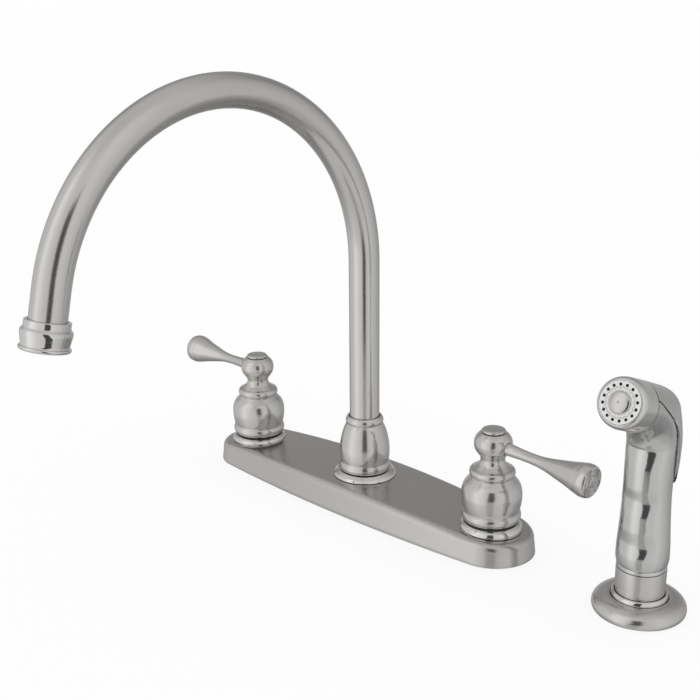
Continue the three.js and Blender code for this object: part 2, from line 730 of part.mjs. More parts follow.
function hoseConnector() {
  const barb = 0.94 * connectorRadius;
  const root = 0.86 * connectorRadius;
  const bore = 0.5 * connectorRadius;
  return turned([
    [bore, -14], [root, -14], [barb, -12.6], [root, -11.4], [barb, -10], [root, -8.8],
    [barb, -7.4], [root, -6.2], [connectorRadius, -4.4], [connectorRadius, connectorTop],
    [bore, connectorTop],
  ], MEDIUM);
}

const swivelRing = () =>
  pipe(ferrule - 0.1, swivelRadius + GAP, ferruleTop + GAP, spray.bodyBottom - GAP);

const sprayPlace = groupAt(faucet, [sprayX, 0, 0], 0, THREE.MathUtils.degToRad(spray.turn));
add(sprayPlace, 'spray_holder', sprayHolder(), BRUSHED);
add(sprayPlace, 'holder_bushing', holderBushing(), POLISHED);
add(sprayPlace, 'holder_washer', deckWasher(holderShank + 8, holderShank + GAP), STEEL);
add(sprayPlace, 'holder_nut', lobedNut(holderShank + GAP, 10), NYLON);
add(sprayPlace, 'spray_ferrule', sprayFerrule(), BRUSHED);
add(sprayPlace, 'hose_connector', hoseConnector(), BRASS);
add(sprayPlace, 'swivel_ring', swivelRing(), POLISHED);

// ---------------------------------------------------------------- spray wand
// Stations along the wand are shares of the height from its foot to the face, and shares of
// the ferrule's radius.

const wandHeight = spray.faceHeight - spray.bodyBottom;
const wandAt = (share) => spray.bodyBottom + share * wandHeight;
const girth = (share) => share * ferrule;
const tilt = THREE.MathUtils.degToRad(spray.faceTilt);
const nose = new THREE.Vector2(Math.cos(tilt), -Math.sin(tilt));
const seamCentre = nose.clone().multiplyScalar(spray.noseLength)
  .add(new THREE.Vector2(-spray.faceForward, spray.faceHeight));
const behindSeam = (distance, r) =>
  ({ y: seamCentre.x + nose.x * distance, z: seamCentre.y + nose.y * distance, r });

const valveHeight = wandAt(0.72);
const pivot = { y: girth(-0.9), z: wandAt(0.956) };
const bend = [girth(0.06), wandAt(0.84)];

// A cylinder or cone along the nozzle's axis, measured back from the seam.
function headPiece(frontRadius, backRadius, from, to, sides = LARGE) {
  const piece = turned([[0, -to], [backRadius, -to], [frontRadius, -from], [0, -from]], sides);
  return piece.rotate([90 - spray.faceTilt, 0, 0]).translate([0, seamCentre.x, seamCentre.y]);
}

const station = ([y, z, r]) => ({ y: girth(y), z: wandAt(z), r: girth(r) });

// Shallow hollows for the fingers down the front of the wand.
function gripDepth(front, z) {
  const width = THREE.MathUtils.smoothstep(front, 0.55, 1);
  const depths = grips.map(([middle, deepest]) => {
    const up = 0.5 + (z - wandAt(middle)) / (2 * grip.halfLength);
    return Math.min(up / deepest, (1 - up) / (1 - deepest));
  });
  return grip.depth * width * Math.max(0, ...depths);
}

// The wand's own skin, swelling at the foot and bending forward into the head.
const wandSkin = () => bent([
  ...[
    [0, 0, 1.01], [0, 0.035, 1.048], [0, 0.1, 1.036], [0, 0.2, 0.992], [0, 0.3, 0.954],
    [0, 0.41, 0.935], [0.02, 0.51, 0.944], [0.05, 0.61, 0.958], [0.07, 0.69, 0.965],
    [-0.06, 0.755, 0.967], [-0.48, 0.84, 0.98],
  ].map(station),
  behindSeam(8.5, girth(0.99)), behindSeam(0, girth(0.995)),
], 2, LARGE, gripDepth);

// The trigger's envelope: a limb down the back, a ball at the bend and an arm to the nozzle.
function triggerEnvelope(less) {
  const limb = bent([
    [0.06, 0.84, 0.99], [0.19, 0.77, 1.022], [0.232, 0.7, 1.055], [0.2, 0.63, 1.065],
    [0.14, 0.555, 1.056], [0.03, 0.49, 1.03], [-0.06, 0.425, 0.98],
  ].map(([y, z, r]) => station([y, z, r - less / spray.radius])), 1, LARGE);
  const ball = wasm.Manifold.sphere(girth(0.99) - less, 24).translate([0, ...bend]);
  const arm = headPiece(girth(1.003) - less, girth(0.99) - less, GAP - less, 1.85 * ferrule);
  return join(limb, ball, arm);
}

// Side view of what lies above and behind the trigger's edge.
function triggerRegion(margin) {
  const edge = [
    [-1.75, 0.998], [-1.42, 0.968], [-0.97, 0.915], [-0.6, 0.874], [-0.22, 0.829],
    [0.06, 0.782], [0.21, 0.727], [0.27, 0.667], [0.285, 0.6], [0.3, 0.54], [0.37, 0.487],
    [0.6, 0.447],
  ].map(([y, z]) => [girth(y) - 0.8 * margin, wandAt(z) - 0.6 * margin]);
  return sideways([
    ...edge, [girth(2), wandAt(0.427) - margin], [girth(2), wandAt(1.2)],
    [girth(-1.75) - 0.8 * margin, wandAt(1.2)],
  ], girth(1.3));
}

// Round bosses inside the trigger's two sides, from a distance off centre outwards.
const cheekRadius = 3;
const cheeks = (radius, start) => [-1, 1].map((side) =>
  alongX(rod(radius, start, girth(1), SMALL)).translate([0, pivot.y, pivot.z])
    .scale([side, 1, 1]));

// What stays of the wand inside the trigger, to carry the valve and the pivot.
function wandCore() {
  const post = rod(girth(0.7), spray.bodyBottom, bend[1]);
  const knee = wasm.Manifold.sphere(girth(0.7), 18).translate([0, ...bend]);
  const core = join(post, knee, headPiece(girth(0.8), girth(0.7), -1, 1.95 * ferrule));
  return cut(core, ...cheeks(cheekRadius + GAP, girth(0.62) - GAP));
}

const pressed = (piece) => piece.translate([0, -pivot.y, -pivot.z])
  .rotate([-trigger.press, 0, 0]).translate([0, pivot.y, pivot.z]);

// Room under the wand's skin for the trigger's skirt when it is pressed.
const pressRoom = () =>
  pressed(cut(triggerRegion(0.3), triggerEnvelope(trigger.wall + 0.15)));

function sprayBody() {
  const cavity = cut(triggerRegion(0.8), wandCore());
  const socket = rod(swivelRadius + 0.4, spray.bodyBottom - 1, spray.bodyBottom + 8);
  const water = rod(waterRadius - 0.4, spray.bodyBottom, valveHeight - 3, SMALL);
  const rise = rod(3, valveHeight, wandAt(0.87), 10).translate([0, girth(-0.15), 0]);
  const chamber = alongY(rod(4.6, girth(-0.45), girth(0.48), SMALL)).translate([0, 0, valveHeight]);
  const plungerHole = alongY(rod(2.3, girth(0.4), girth(0.9), 10)).translate([0, 0, valveHeight]);
  return cut(
    wandSkin(), cavity, pressRoom(), pinHole(girth(0.95)), socket, water, rise, chamber, plungerHole,
    headPiece(girth(0.69), girth(0.69), -1, 6.5), headPiece(4, 4, 6, 20, SMALL),
  );
}

const pinHole = (reach) => alongX(rod(1.5, -reach, reach, 10)).translate([0, pivot.y, pivot.z]);
const pivotPin = () => alongX(rod(1.2, -girth(0.8), girth(0.8), 10))
  .translate([0, pivot.y, pivot.z]);

// The thumb lever: a shell over the back of the wand and the top of the head, with two
// cheeks inside it for the pivot pin.
function thumbLever() {
  const hollow = cut(triggerEnvelope(trigger.wall), ...cheeks(cheekRadius, girth(0.62)));
  const shell = cut(triggerEnvelope(0).intersect(triggerRegion(0)), hollow);
  return cut(shell, pinHole(girth(0.83)));
}

function valvePlunger() {
  const shape = turned([
    [0, girth(0.2)], [3.8, girth(0.2)], [3.8, girth(0.3)], [1.9, girth(0.34)],
    [1.9, girth(1.12)], [0, girth(1.12)],
  ], SMALL);
  return alongY(shape).translate([0, 0, valveHeight]);
}

class SpringWire extends THREE.Curve {
  getPoint(share) {
    const angle = 2 * Math.PI * 4 * share;
    const along = THREE.MathUtils.lerp(girth(-0.27), girth(0.14), share);
    return new THREE.Vector3(3 * Math.cos(angle), along, 3 * Math.sin(angle));
  }
}

function valveSpring() {
  const section = new THREE.Shape(ringOfPoints(() => 0.45, 5));
  const wire = new THREE.ExtrudeGeometry(section, { steps: 32, extrudePath: new SpringWire() });
  return solid(wire).translate([0, 0, valveHeight]);
}

// Nozzle pieces are built along the face's own +Z, with the face at height 0.
const rimRadius = girth(0.974);
const faceRadius = girth(0.828);

function nozzleCollar() {
  const seam = -spray.noseLength + GAP;
  const spigot = girth(0.69) - GAP;
  const bore = spigot - 1.9;
  return turned([
    [bore, seam - 5.5], [spigot, seam - 5.5], [spigot, seam], [girth(0.99), seam],
    [rimRadius + 0.1, -4], [rimRadius, -1.6], [rimRadius - 0.35, -0.6], [faceRadius + 1, -0.05],
    [faceRadius + GAP, -0.3], [faceRadius + GAP, -3], [spigot - 0.4, -3],
    [spigot - 0.4, seam + 1], [bore, seam + 1],
  ]);
}

function sprayFace() {
  const holes = ringOfPoints(() => girth(0.664), face.holes, Math.PI / face.holes)
    .map((at) => ringOfPoints(() => face.holeRadius, 6).map((point) => point.add(at)));
  return raised(ringOfPoints(() => faceRadius, LARGE), -3 + GAP, 0,
    [ringOfPoints(() => 2.3, 10), ...holes]);
}

function faceDome() {
  const radius = girth(0.42);
  return turned([
    [0, -2.6], [2, -2.6], [2, GAP], [radius - 0.1, GAP], [radius, 0.6], [0.87 * radius, 1.3],
    [0.54 * radius, 1.8], [0.13 * radius, 1.95], [0, 1.6],
  ], MEDIUM);
}

add(sprayPlace, 'spray_body', sprayBody(), POLISHED);
add(sprayPlace, 'spray_trigger', thumbLever(), POLISHED);
add(sprayPlace, 'trigger_pin', pivotPin(), STEEL);
add(sprayPlace, 'valve_plunger', valvePlunger(), BRASS);
add(sprayPlace, 'valve_spring', valveSpring(), STEEL);

const head = groupAt(sprayPlace, [0, -spray.faceForward, spray.faceHeight], Math.PI / 2 - tilt);
add(head, 'nozzle_collar', nozzleCollar(), POLISHED);
add(head, 'spray_face', sprayFace(), WHITE);
add(head, 'face_dome', faceDome(), POLISHED);

export default faucet;
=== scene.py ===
import json
import math

import bmesh
import bpy
from mathutils import Matrix, Vector

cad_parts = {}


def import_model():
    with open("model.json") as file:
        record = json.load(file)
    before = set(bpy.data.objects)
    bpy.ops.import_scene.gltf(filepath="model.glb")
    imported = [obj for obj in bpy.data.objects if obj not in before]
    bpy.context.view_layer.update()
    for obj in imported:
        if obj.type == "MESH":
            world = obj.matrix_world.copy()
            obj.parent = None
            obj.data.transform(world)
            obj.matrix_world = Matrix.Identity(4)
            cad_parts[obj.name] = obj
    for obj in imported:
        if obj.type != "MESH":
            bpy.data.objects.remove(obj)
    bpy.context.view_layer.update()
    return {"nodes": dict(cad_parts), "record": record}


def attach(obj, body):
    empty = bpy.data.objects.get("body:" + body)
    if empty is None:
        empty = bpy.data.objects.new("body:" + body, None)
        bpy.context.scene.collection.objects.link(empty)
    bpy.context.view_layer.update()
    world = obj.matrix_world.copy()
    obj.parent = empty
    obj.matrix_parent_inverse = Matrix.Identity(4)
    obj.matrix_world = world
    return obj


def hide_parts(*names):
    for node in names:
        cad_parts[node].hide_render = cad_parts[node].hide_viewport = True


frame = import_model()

MM = 0.001

# ------------------------------------------------------------------ sizes, in millimetres

HANDLE_X = 101.6
SPRAY_X = 201.0
GAP = 0.3

PLATE = dict(overhang=26.9, width=60.0, height=18.6, fall=3.6, edge=4.0, draft=1.0, wall=2.4,
             ledge=3.0, roof=2.2)
GASKET = 2.0
HANDLE = dict(radius=17.8, height=54.2, ball=11.15, cap=1.7)
LEVER = dict(reach=67.2, grip=3.1, end=9.6)
DROOP = {"hot": 0.0, "cold": 3.5}
TUBE = dict(radius=9.45, wall=1.2, riser=157.8, arch=109.6, angle=167.0, straight=17.9)
NUT_HEIGHT = 35.8
OUTLET = dict(length=14.8, cover=3.0)
SPRAY = dict(radius=13.35, turn=4.6, bottom=28.0, forward=38.9, height=128.4, tilt=21.7, nose=16.1)
HOLDER = dict(height=8.7, ring=6.0, shank=50.0)

plate_top = lambda x: PLATE["height"] - PLATE["fall"] * (x / HANDLE_X) ** 2
plate_under = lambda x: plate_top(x) - PLATE["roof"]

BASE_RING_TOP = plate_top(HANDLE_X) + 4.1
HANDLE_BOTTOM = BASE_RING_TOP + 0.7
handle_at = lambda share: HANDLE_BOTTOM + share * HANDLE["height"]
LEVER_Z = handle_at(0.858)
LEVER_SEAT = 0.771 * HANDLE["ball"]
VALVE_BODY = 0.742 * HANDLE["radius"]
SPOUT_RING_TOP = PLATE["height"] + 3.4
NUT_BOTTOM = SPOUT_RING_TOP + GAP
spout_at = lambda share: NUT_BOTTOM + share * NUT_HEIGHT
HUB_RADIUS = TUBE["radius"] + 3.9
HUB_BORE = TUBE["radius"] + 2.2

# ------------------------------------------------------------------ curves


def spline(points, per=6):
    """A smooth line through the points."""
    ends = [2 * Vector(points[0]) - Vector(points[1]), *map(Vector, points),
            2 * Vector(points[-1]) - Vector(points[-2])]
    line = []
    for a, b, c, d in zip(ends, ends[1:], ends[2:], ends[3:]):
        t0 = 0.0
        t1 = t0 + max((b - a).length, 1e-6) ** 0.5
        t2 = t1 + max((c - b).length, 1e-6) ** 0.5
        t3 = t2 + max((d - c).length, 1e-6) ** 0.5
        for i in range(per):
            t = t1 + (t2 - t1) * i / per
            ab = a * ((t1 - t) / (t1 - t0)) + b * ((t - t0) / (t1 - t0))
            bc = b * ((t2 - t) / (t2 - t1)) + c * ((t - t1) / (t2 - t1))
            cd = c * ((t3 - t) / (t3 - t2)) + d * ((t - t2) / (t3 - t2))
            abc = ab * ((t2 - t) / (t2 - t0)) + bc * ((t - t0) / (t2 - t0))
            bcd = bc * ((t3 - t) / (t3 - t1)) + cd * ((t - t1) / (t3 - t1))
            line.append(tuple(abc * ((t2 - t) / (t2 - t1)) + bcd * ((t - t1) / (t2 - t1))))
    line.append(tuple(points[-1]))
    return line


def _walk(line, start, step, distance):
    """The point at a distance along a line from one of its points, and the index passed."""
    left = distance
    i = start
    while 0 <= i + step < len(line):
        a, b = Vector(line[i]), Vector(line[i + step])
        length = (b - a).length
        if length >= left:
            return tuple(a.lerp(b, left / max(length, 1e-9))), i + step
        left -= length
        i += step
    return tuple(line[i]), i


CORNER_STEPS = 6
SHORTEST_EDGE = 0.02


def outline(rows, closed=True, per=6):
    """A profile from rows: (r, z) is a point on a smooth curve, and (r, z, size) is a corner
    rounded by that size, or a sharp one where it is 0."""
    rows = [(*row, None)[:3] for row in rows]
    line = [rows[0][:2]]
    corners = [(0, rows[0][2])]
    run = line[:]
    for r, z, size in rows[1:] + (rows[:1] if closed else []):
        run.append((r, z))
        if size is None:
            continue
        line += (spline(run, per) if len(run) > 2 else run)[1:]
        corners.append((len(line) - 1, size))
        run = [(r, z)]
    ring, base = line, 0
    if closed:
        line.pop()
        corners.pop()
        ring, base = line * 3, len(line)
    count = len(line)
    rounded, skipped = {}, set()
    for index, size in corners:
        if not size or (not closed and index in (0, count - 1)):
            continue
        before, first = _walk(ring, index + base, -1, size)
        after, last = _walk(ring, index + base, 1, size)
        a, b, here = Vector(before), Vector(after), Vector(line[index])
        rounded[index] = [tuple(a * (1 - t) ** 2 + here * (2 * t * (1 - t)) + b * t ** 2)
                          for t in (k / CORNER_STEPS for k in range(CORNER_STEPS + 1))]
        skipped.update(k % count for k in range(first - base + 1, last - base))
    result = []
    for i, point in enumerate(line):
        for made in rounded.get(i, [] if i in skipped else [point]):
            if not result or (Vector(made) - Vector(result[-1])).length > SHORTEST_EDGE:
                result.append(made)
    if closed and (Vector(result[0]) - Vector(result[-1])).length < SHORTEST_EDGE:
        result.pop()
    return result


def circle(count, start=0.0):
    """Cosine and sine of even steps round a circle."""
    angles = [2 * math.pi * (i + start) / count for i in range(count)]
    return [(math.cos(a), math.sin(a)) for a in angles]


# ------------------------------------------------------------------ meshes


def faces_from(*lines):
    """Faces with one corner from each line of vertex numbers, and a repeated one taken once."""
    faces = [tuple(dict.fromkeys(corners)) for corners in zip(*lines)]
    return [face for face in faces if len(face) > 2]


def skin(loops, closed=False):
    """Faces from each loop of vertex numbers to the next, and if closed from last to first."""
    return [face for one, two in zip(loops, loops[1:] + (loops[:1] if closed else []))
            for face in faces_from(one, one[1:] + one[:1], two[1:] + two[:1], two)]


def numbers(verts, count):
    """The vertex numbers that the next points will get."""
    return list(range(len(verts), len(verts) + count))


def new_object(name, verts, faces):
    """An object from points in millimetres."""
    mesh = bpy.data.meshes.new(name)
    mesh.from_pydata([Vector(v) * MM for v in verts], [], faces)
    obj = bpy.data.objects.new(name, mesh)
    bpy.context.scene.collection.objects.link(obj)
    return obj


def face_outward(mesh):
    build = bmesh.new()
    build.from_mesh(mesh)
    bmesh.ops.recalc_face_normals(build, faces=build.faces)
    if build.calc_volume(signed=True) < 0:
        bmesh.ops.reverse_faces(build, faces=build.faces)
    build.to_mesh(mesh)
    build.free()


def write(mesh, **values):
    """Gives a mesh's points the brushing vectors that the looks read."""
    for key, vectors in values.items():
        attribute = mesh.attributes.new(key, "FLOAT_VECTOR", "POINT")
        attribute.data.foreach_set("vector", [c for v in vectors for c in v])


def make(name, verts, faces, look, body, nodes=(), grain=None, along=None, crease=38):
    """A piece from points in millimetres, riding on a body and standing for CAD nodes."""
    obj = new_object(name, verts, faces)
    obj.data.validate()
    if grain and len(obj.data.vertices) == len(grain):
        write(obj.data, grain=grain, along=along)
    return finish_piece(obj, look, body, nodes, crease)


def finish_piece(obj, look, body, nodes=(), crease=38):
    mesh = obj.data
    face_outward(mesh)
    mesh.shade_smooth()
    mesh.set_sharp_from_angle(angle=math.radians(crease))
    mesh.materials.clear()
    mesh.materials.append(look)
    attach(obj, body)
    if nodes:
        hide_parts(*nodes)
    return obj


GRAIN_ROUND = 3


def turned_data(rows, place, sides=96, per=6):
    """Points, faces and brushing data of rows turned round local Z and then placed."""
    on_axis = rows[0][0] == 0 and rows[-1][0] == 0
    profile = outline(rows, not on_axis, per)
    verts, grain, along, rings = [], [], [], []
    turning = place.to_3x3()
    travelled = 0.0
    before = profile[0]
    for r, z in profile:
        travelled += (Vector((r, z)) - Vector(before)).length
        before = (r, z)
        if r < 1e-6:
            rings.append(numbers(verts, 1) * sides)
            verts.append(place @ Vector((0, 0, z)))
            grain.append((0, 0, travelled))
            along.append(turning @ Vector((1, 0, 0)))
            continue
        rings.append(numbers(verts, sides))
        for c, s in circle(sides):
            verts.append(place @ Vector((r * c, r * s, z)))
            grain.append((c * GRAIN_ROUND, s * GRAIN_ROUND, travelled))
            along.append(turning @ Vector((-s, c, 0)))
    return verts, skin(rings, not on_axis), grain, along


def turned(name, rows, look, body, nodes, place=Matrix.Identity(4), sides=96, per=6):
    verts, faces, grain, along = turned_data(rows, place, sides, per)
    return make(name, verts, faces, look, body, nodes, grain, along)


def shift(x=0.0, y=0.0, z=0.0):
    return Matrix.Translation((x, y, z))


def turn(degrees, axis):
    return Matrix.Rotation(math.radians(degrees), 4, axis)


def in_metres(place):
    return Matrix.Translation(place.to_translation() * MM) @ place.to_3x3().to_4x4()


def combine(obj, operation, tools):
    """Cuts, keeps or joins obj by each tool in turn, and deletes the tools."""
    for tool in tools:
        change = obj.modifiers.new("combine", "BOOLEAN")
        change.operation = operation
        change.solver = "EXACT"
        change.object = tool
        bpy.context.view_layer.update()
        graph = bpy.context.evaluated_depsgraph_get()
        mesh = bpy.data.meshes.new_from_object(obj.evaluated_get(graph))
        obj.modifiers.clear()
        old = obj.data
        obj.data = mesh
        bpy.data.meshes.remove(old)
        bpy.data.objects.remove(tool)


def cut_by(obj, *tools):
    combine(obj, "DIFFERENCE", tools)


def keep_in(obj, *tools):
    combine(obj, "INTERSECT", tools)


def join_to(obj, *tools):
    combine(obj, "UNION", tools)


def solid(verts, faces):
    """A bare closed solid to cut or join with."""
    obj = new_object("tool", verts, faces)
    face_outward(obj.data)
    return obj


def turned_solid(rows, place, sides=96):
    return solid(*turned_data(rows, place, sides)[:2])


def rod_rows(radius, bottom, top):
    return [(0, bottom, 0), (radius, bottom, 0), (radius, top, 0), (0, top, 0)]


def rod(radius, bottom, top, place, sides):
    return turned_solid(rod_rows(radius, bottom, top), place, sides)


# ------------------------------------------------------------------ materials


# Scales of the textures over a metre, and depths of the relief in metres.
METAL_CLOUDS = 60.0
METAL_GRAIN = 2200.0
METAL_RELIEF = 0.00002
PLAIN_CLOUDS = 70.0
PLAIN_GRAIN = 900.0
PLAIN_RELIEF = 0.00004

# How much of the fine grain joins the lines in the relief, and how roughness may vary.
FINE_SHARE = 0.3
PLAIN_SPREAD = 0.08
LOWEST_ROUGHNESS = 0.03


def feed(tree, socket, value):
    """Links a socket to another node's output, or sets its value."""
    if isinstance(value, bpy.types.NodeSocket):
        tree.links.new(value, socket)
    else:
        socket.default_value = value


def fill(tree, made, **values):
    """Feeds a node's inputs, or else sets its settings, by name and with _ for a space."""
    for key, value in values.items():
        name = key.replace("_", " ")
        if name in made.inputs.keys():
            feed(tree, made.inputs[name], value)
        else:
            setattr(made, key, value)
    return made


def node(tree, kind, **values):
    return fill(tree, tree.nodes.new(kind), **values)


def math_node(tree, operation, *values):
    made = node(tree, "ShaderNodeMath", operation=operation)
    for socket, value in zip(made.inputs, values):
        feed(tree, socket, value)
    return made.outputs[0]


def noise(tree, place, scale, detail, roughness=0.5):
    return node(tree, "ShaderNodeTexNoise", Vector=place, Scale=scale, Detail=detail,
                Roughness=roughness).outputs["Fac"]


def spread_over(tree, value, low, high):
    return node(tree, "ShaderNodeMapRange", Value=value, To_Min=low,
                To_Max=high).outputs["Result"]


def painted(tree, value, color, tint):
    """A colour that the value moves from a little darker to a little lighter."""
    return node(tree, "ShaderNodeMix", data_type="RGBA", Factor=value,
                A=(*[c * (1 - tint) for c in color], 1),
                B=(*[min(1, c * (1 + tint)) for c in color], 1)).outputs["Result"]


def raised(tree, height, strength, depth):
    return node(tree, "ShaderNodeBump", Strength=strength, Distance=depth,
                Height=height).outputs["Normal"]


def new_look(name):
    look = bpy.data.materials.new(name)
    look.use_nodes = True
    return look, look.node_tree, look.node_tree.nodes["Principled BSDF"]


def metal(name, color, roughness, spread, brushed=0.0, line=5.0, bump=0.0, tint=0.05):
    """Metal whose fine lines run along the piece's brushing, with faint clouding."""
    look, tree, shader = new_look(name)
    grain = node(tree, "ShaderNodeAttribute", attribute_name="grain")
    lines = noise(tree, grain.outputs["Vector"], line, 3.0, 0.6)
    place = node(tree, "ShaderNodeTexCoord").outputs["Object"]
    clouds = noise(tree, place, METAL_CLOUDS, 2.0)
    both = math_node(tree, "MULTIPLY", math_node(tree, "ADD", clouds, lines), 0.5)
    fill(tree, shader, Metallic=1.0, Anisotropic=brushed,
         Roughness=spread_over(tree, lines, roughness - spread, roughness + spread),
         Base_Color=painted(tree, both, color, tint))
    if bump:
        fine = noise(tree, place, METAL_GRAIN, 1.0)
        height = math_node(tree, "MULTIPLY_ADD", fine, FINE_SHARE, lines)
        fill(tree, shader, Normal=raised(tree, height, bump, METAL_RELIEF))
    if brushed:
        along = node(tree, "ShaderNodeAttribute", attribute_name="along")
        way = node(tree, "ShaderNodeVectorTransform", vector_type="VECTOR", convert_from="OBJECT",
                   convert_to="WORLD", Vector=along.outputs["Vector"])
        fill(tree, shader, Tangent=way.outputs["Vector"])
    return look


def plain(name, color, roughness, bump=0.15, tint=0.06, **inputs):
    """Moulded plastic, rubber or unbrushed metal with a fine grain."""
    look, tree, shader = new_look(name)
    place = node(tree, "ShaderNodeTexCoord").outputs["Object"]
    fine = noise(tree, place, PLAIN_GRAIN, 3.0)
    clouds = noise(tree, place, PLAIN_CLOUDS, 3.0)
    low = max(LOWEST_ROUGHNESS, roughness - PLAIN_SPREAD)
    high = min(1.0, roughness + PLAIN_SPREAD)
    fill(tree, shader, Base_Color=painted(tree, clouds, color, tint),
         Roughness=spread_over(tree, fine, low, high),
         Normal=raised(tree, fine, bump, PLAIN_RELIEF), **inputs)
    return look


BRUSHED = metal("brushed nickel", (0.66, 0.645, 0.625), 0.18, 0.035, brushed=0.5, bump=0.12,
                tint=0.035)
BRUSHED_FLAT = metal("brushed nickel plate", (0.575, 0.562, 0.545), 0.22, 0.03, brushed=0.4,
                     bump=0.12, tint=0.035)
SATIN = metal("satin nickel", (0.65, 0.635, 0.615), 0.21, 0.03, brushed=0.3, bump=0.12,
              tint=0.035)
POLISHED = metal("polished nickel", (0.74, 0.73, 0.715), 0.08, 0.02, line=2.0, tint=0.015)
CHROME = metal("polished wand", (0.645, 0.64, 0.63), 0.13, 0.015, line=2.0, tint=0.01)
BRASS = metal("machined brass", (0.70, 0.53, 0.26), 0.28, 0.07, brushed=0.5, bump=0.4)
CAST_BRASS = plain("cast brass", (0.70, 0.53, 0.26), 0.32, Metallic=1.0)
COPPER = plain("drawn copper", (0.72, 0.42, 0.28), 0.3, Metallic=1.0)
STEEL = plain("plain steel", (0.56, 0.56, 0.55), 0.34, Metallic=1.0)
WHITE = plain("white face", (0.74, 0.735, 0.725), 0.32, bump=0.08, tint=0.02)
# Grey of the fine raised line across the white face: painted shade of a low step's edge.
FACE_SHADE_LINE = plain("painted shade line on the white face", (0.4, 0.395, 0.385), 0.4, bump=0.08, tint=0.02)
NYLON = plain("natural nylon", (0.78, 0.76, 0.71), 0.5)
RUBBER = plain("black rubber", (0.02, 0.02, 0.021), 0.75, bump=0.4)
# Near black that fills the spray holes: painted shade down in the holes.
HOLE_SHADE = plain("painted shade in the spray holes", (0.008, 0.008, 0.009), 0.6)

# ------------------------------------------------------------------ camera

CAMERA = dict(place=(473.67, -501.94, 322.72), yaw=44.086, pitch=17.801, roll=-0.417, lens=59.781)


def photo_camera():
    yaw, pitch, roll = (math.radians(CAMERA[key]) for key in ("yaw", "pitch", "roll"))
    forward = Vector((-math.sin(yaw) * math.cos(pitch), math.cos(yaw) * math.cos(pitch),
                      -math.sin(pitch)))
    right = Vector((math.cos(yaw), math.sin(yaw), 0))
    up = right.cross(forward)
    rolled_right = math.cos(roll) * right + math.sin(roll) * up
    rolled_up = -math.sin(roll) * right + math.cos(roll) * up
    data = bpy.data.cameras.new("photo_camera")
    data.sensor_fit = "HORIZONTAL"
    data.sensor_width = 36.0
    data.lens = CAMERA["lens"]
    data.clip_start = 0.01
    camera = bpy.data.objects.new("photo_camera", data)
    basis = Matrix((rolled_right, rolled_up, -forward)).transposed().to_4x4()
    camera.matrix_world = Matrix.Translation(Vector(CAMERA["place"]) * MM) @ basis
    bpy.context.scene.collection.objects.link(camera)
    bpy.context.scene.camera = camera


photo_camera()

# ------------------------------------------------------------------ deck plate

PLATE_SIDE_STEPS = 6
PLATE_EDGE_STEPS = 12
PLATE_MARGIN = 2.2
PLATE_GRAIN = 0.03


def plate_half(inset, end_steps=40, side_steps=90):
    """The back half of the plate's outline: a long bow between two rounded ends."""
    width_over_end = 2.4
    end_radius = PLATE["width"] / width_over_end
    end_x = HANDLE_X + PLATE["overhang"] - end_radius
    half = PLATE["width"] / 2
    side = (end_x ** 2 + half ** 2 - end_radius ** 2) / (2 * (half - end_radius))
    meeting = math.atan2(side - half, end_x)
    points = []
    for i in range(end_steps):
        angle = meeting * i / end_steps
        r = end_radius - inset
        points.append((end_x + r * math.cos(angle), r * math.sin(angle)))
    for i in range(side_steps + 1):
        angle = meeting + (math.pi - 2 * meeting) * i / side_steps
        r = side - inset
        points.append((r * math.cos(angle), half - side + r * math.sin(angle)))
    for i in range(end_steps - 1, -1, -1):
        points.append((-points[i][0], points[i][1]))
    return points


def plate_loop(inset):
    back = plate_half(inset)
    return back + [(x, -y) for x, y in reversed(back[1:-1])]


def plate_data(rows, cross=16):
    """Rows of (inset, height over X). The first and last rows are capped by a grid."""
    verts, loops = [], []
    for inset, height in rows:
        loop = plate_loop(inset)
        loops.append(numbers(verts, len(loop)))
        verts.extend((x, y, height(x)) for x, y in loop)
    faces = skin(loops)
    for loop, (_, height) in ((loops[0], rows[0]), (loops[-1], rows[-1])):
        lines = []
        for i in range(len(loop) // 2 + 1):
            top, bottom = loop[i], loop[-i]
            if top == bottom:
                lines.append([top] * (cross + 1))
                continue
            x, back, _ = verts[top]
            front = verts[bottom][1]
            lines.append([top, *numbers(verts, cross - 1), bottom])
            verts.extend([(x, back + (front - back) * k / cross, height(x))
                          for k in range(1, cross)])
        for one, two in zip(lines, lines[1:]):
            faces += faces_from(one, two, two[1:], one[1:])
    return verts, faces


def deck_plate():
    edge, draft = PLATE["edge"], PLATE["draft"]
    foot = GAP + 0.25
    rows = [(0.25, lambda x: GAP), (0.07, lambda x: GAP + 0.07), (0, lambda x: foot)]
    for k in range(1, PLATE_SIDE_STEPS):
        share = k / PLATE_SIDE_STEPS
        rows.append((draft * share, lambda x, s=share: foot + (plate_top(x) - edge - foot) * s))
    for k in range(PLATE_EDGE_STEPS + 1):
        angle = math.radians(90 * k / PLATE_EDGE_STEPS)
        rows.append((draft + edge * (1 - math.cos(angle)),
                     lambda x, a=angle: plate_top(x) - edge * (1 - math.sin(a))))
    for k in (1, 2, 3):
        rows.append((draft + edge + PLATE_MARGIN * k, plate_top))
    block = solid(*plate_data(rows))
    inner = PLATE["wall"] + PLATE["ledge"]
    cavity = solid(*plate_data([(inner, lambda x: -1), (inner, plate_under)], cross=4))
    recess = solid(*plate_data([(PLATE["wall"], lambda x: -1),
                                (PLATE["wall"], lambda x: GASKET + GAP)], cross=4))
    holes = [rod(r, 0, PLATE["height"] + 1, shift(x), 72)
             for x, r in ((-HANDLE_X, VALVE_BODY + GAP), (HANDLE_X, VALVE_BODY + GAP),
                          (0, HUB_RADIUS + GAP))]
    cut_by(block, cavity, recess, *holes)
    block.name = "deck_plate_skin"
    points = [v.co / MM for v in block.data.vertices]
    write(block.data, grain=[(x * PLATE_GRAIN, y, z) for x, y, z in points],
          along=[(1, 0, 0)] * len(points))
    finish_piece(block, BRUSHED_FLAT, "fixed", ("deck_plate",), 30)


deck_plate()

# ------------------------------------------------------------------ rings under the hubs

RING_FOOT = 0.35


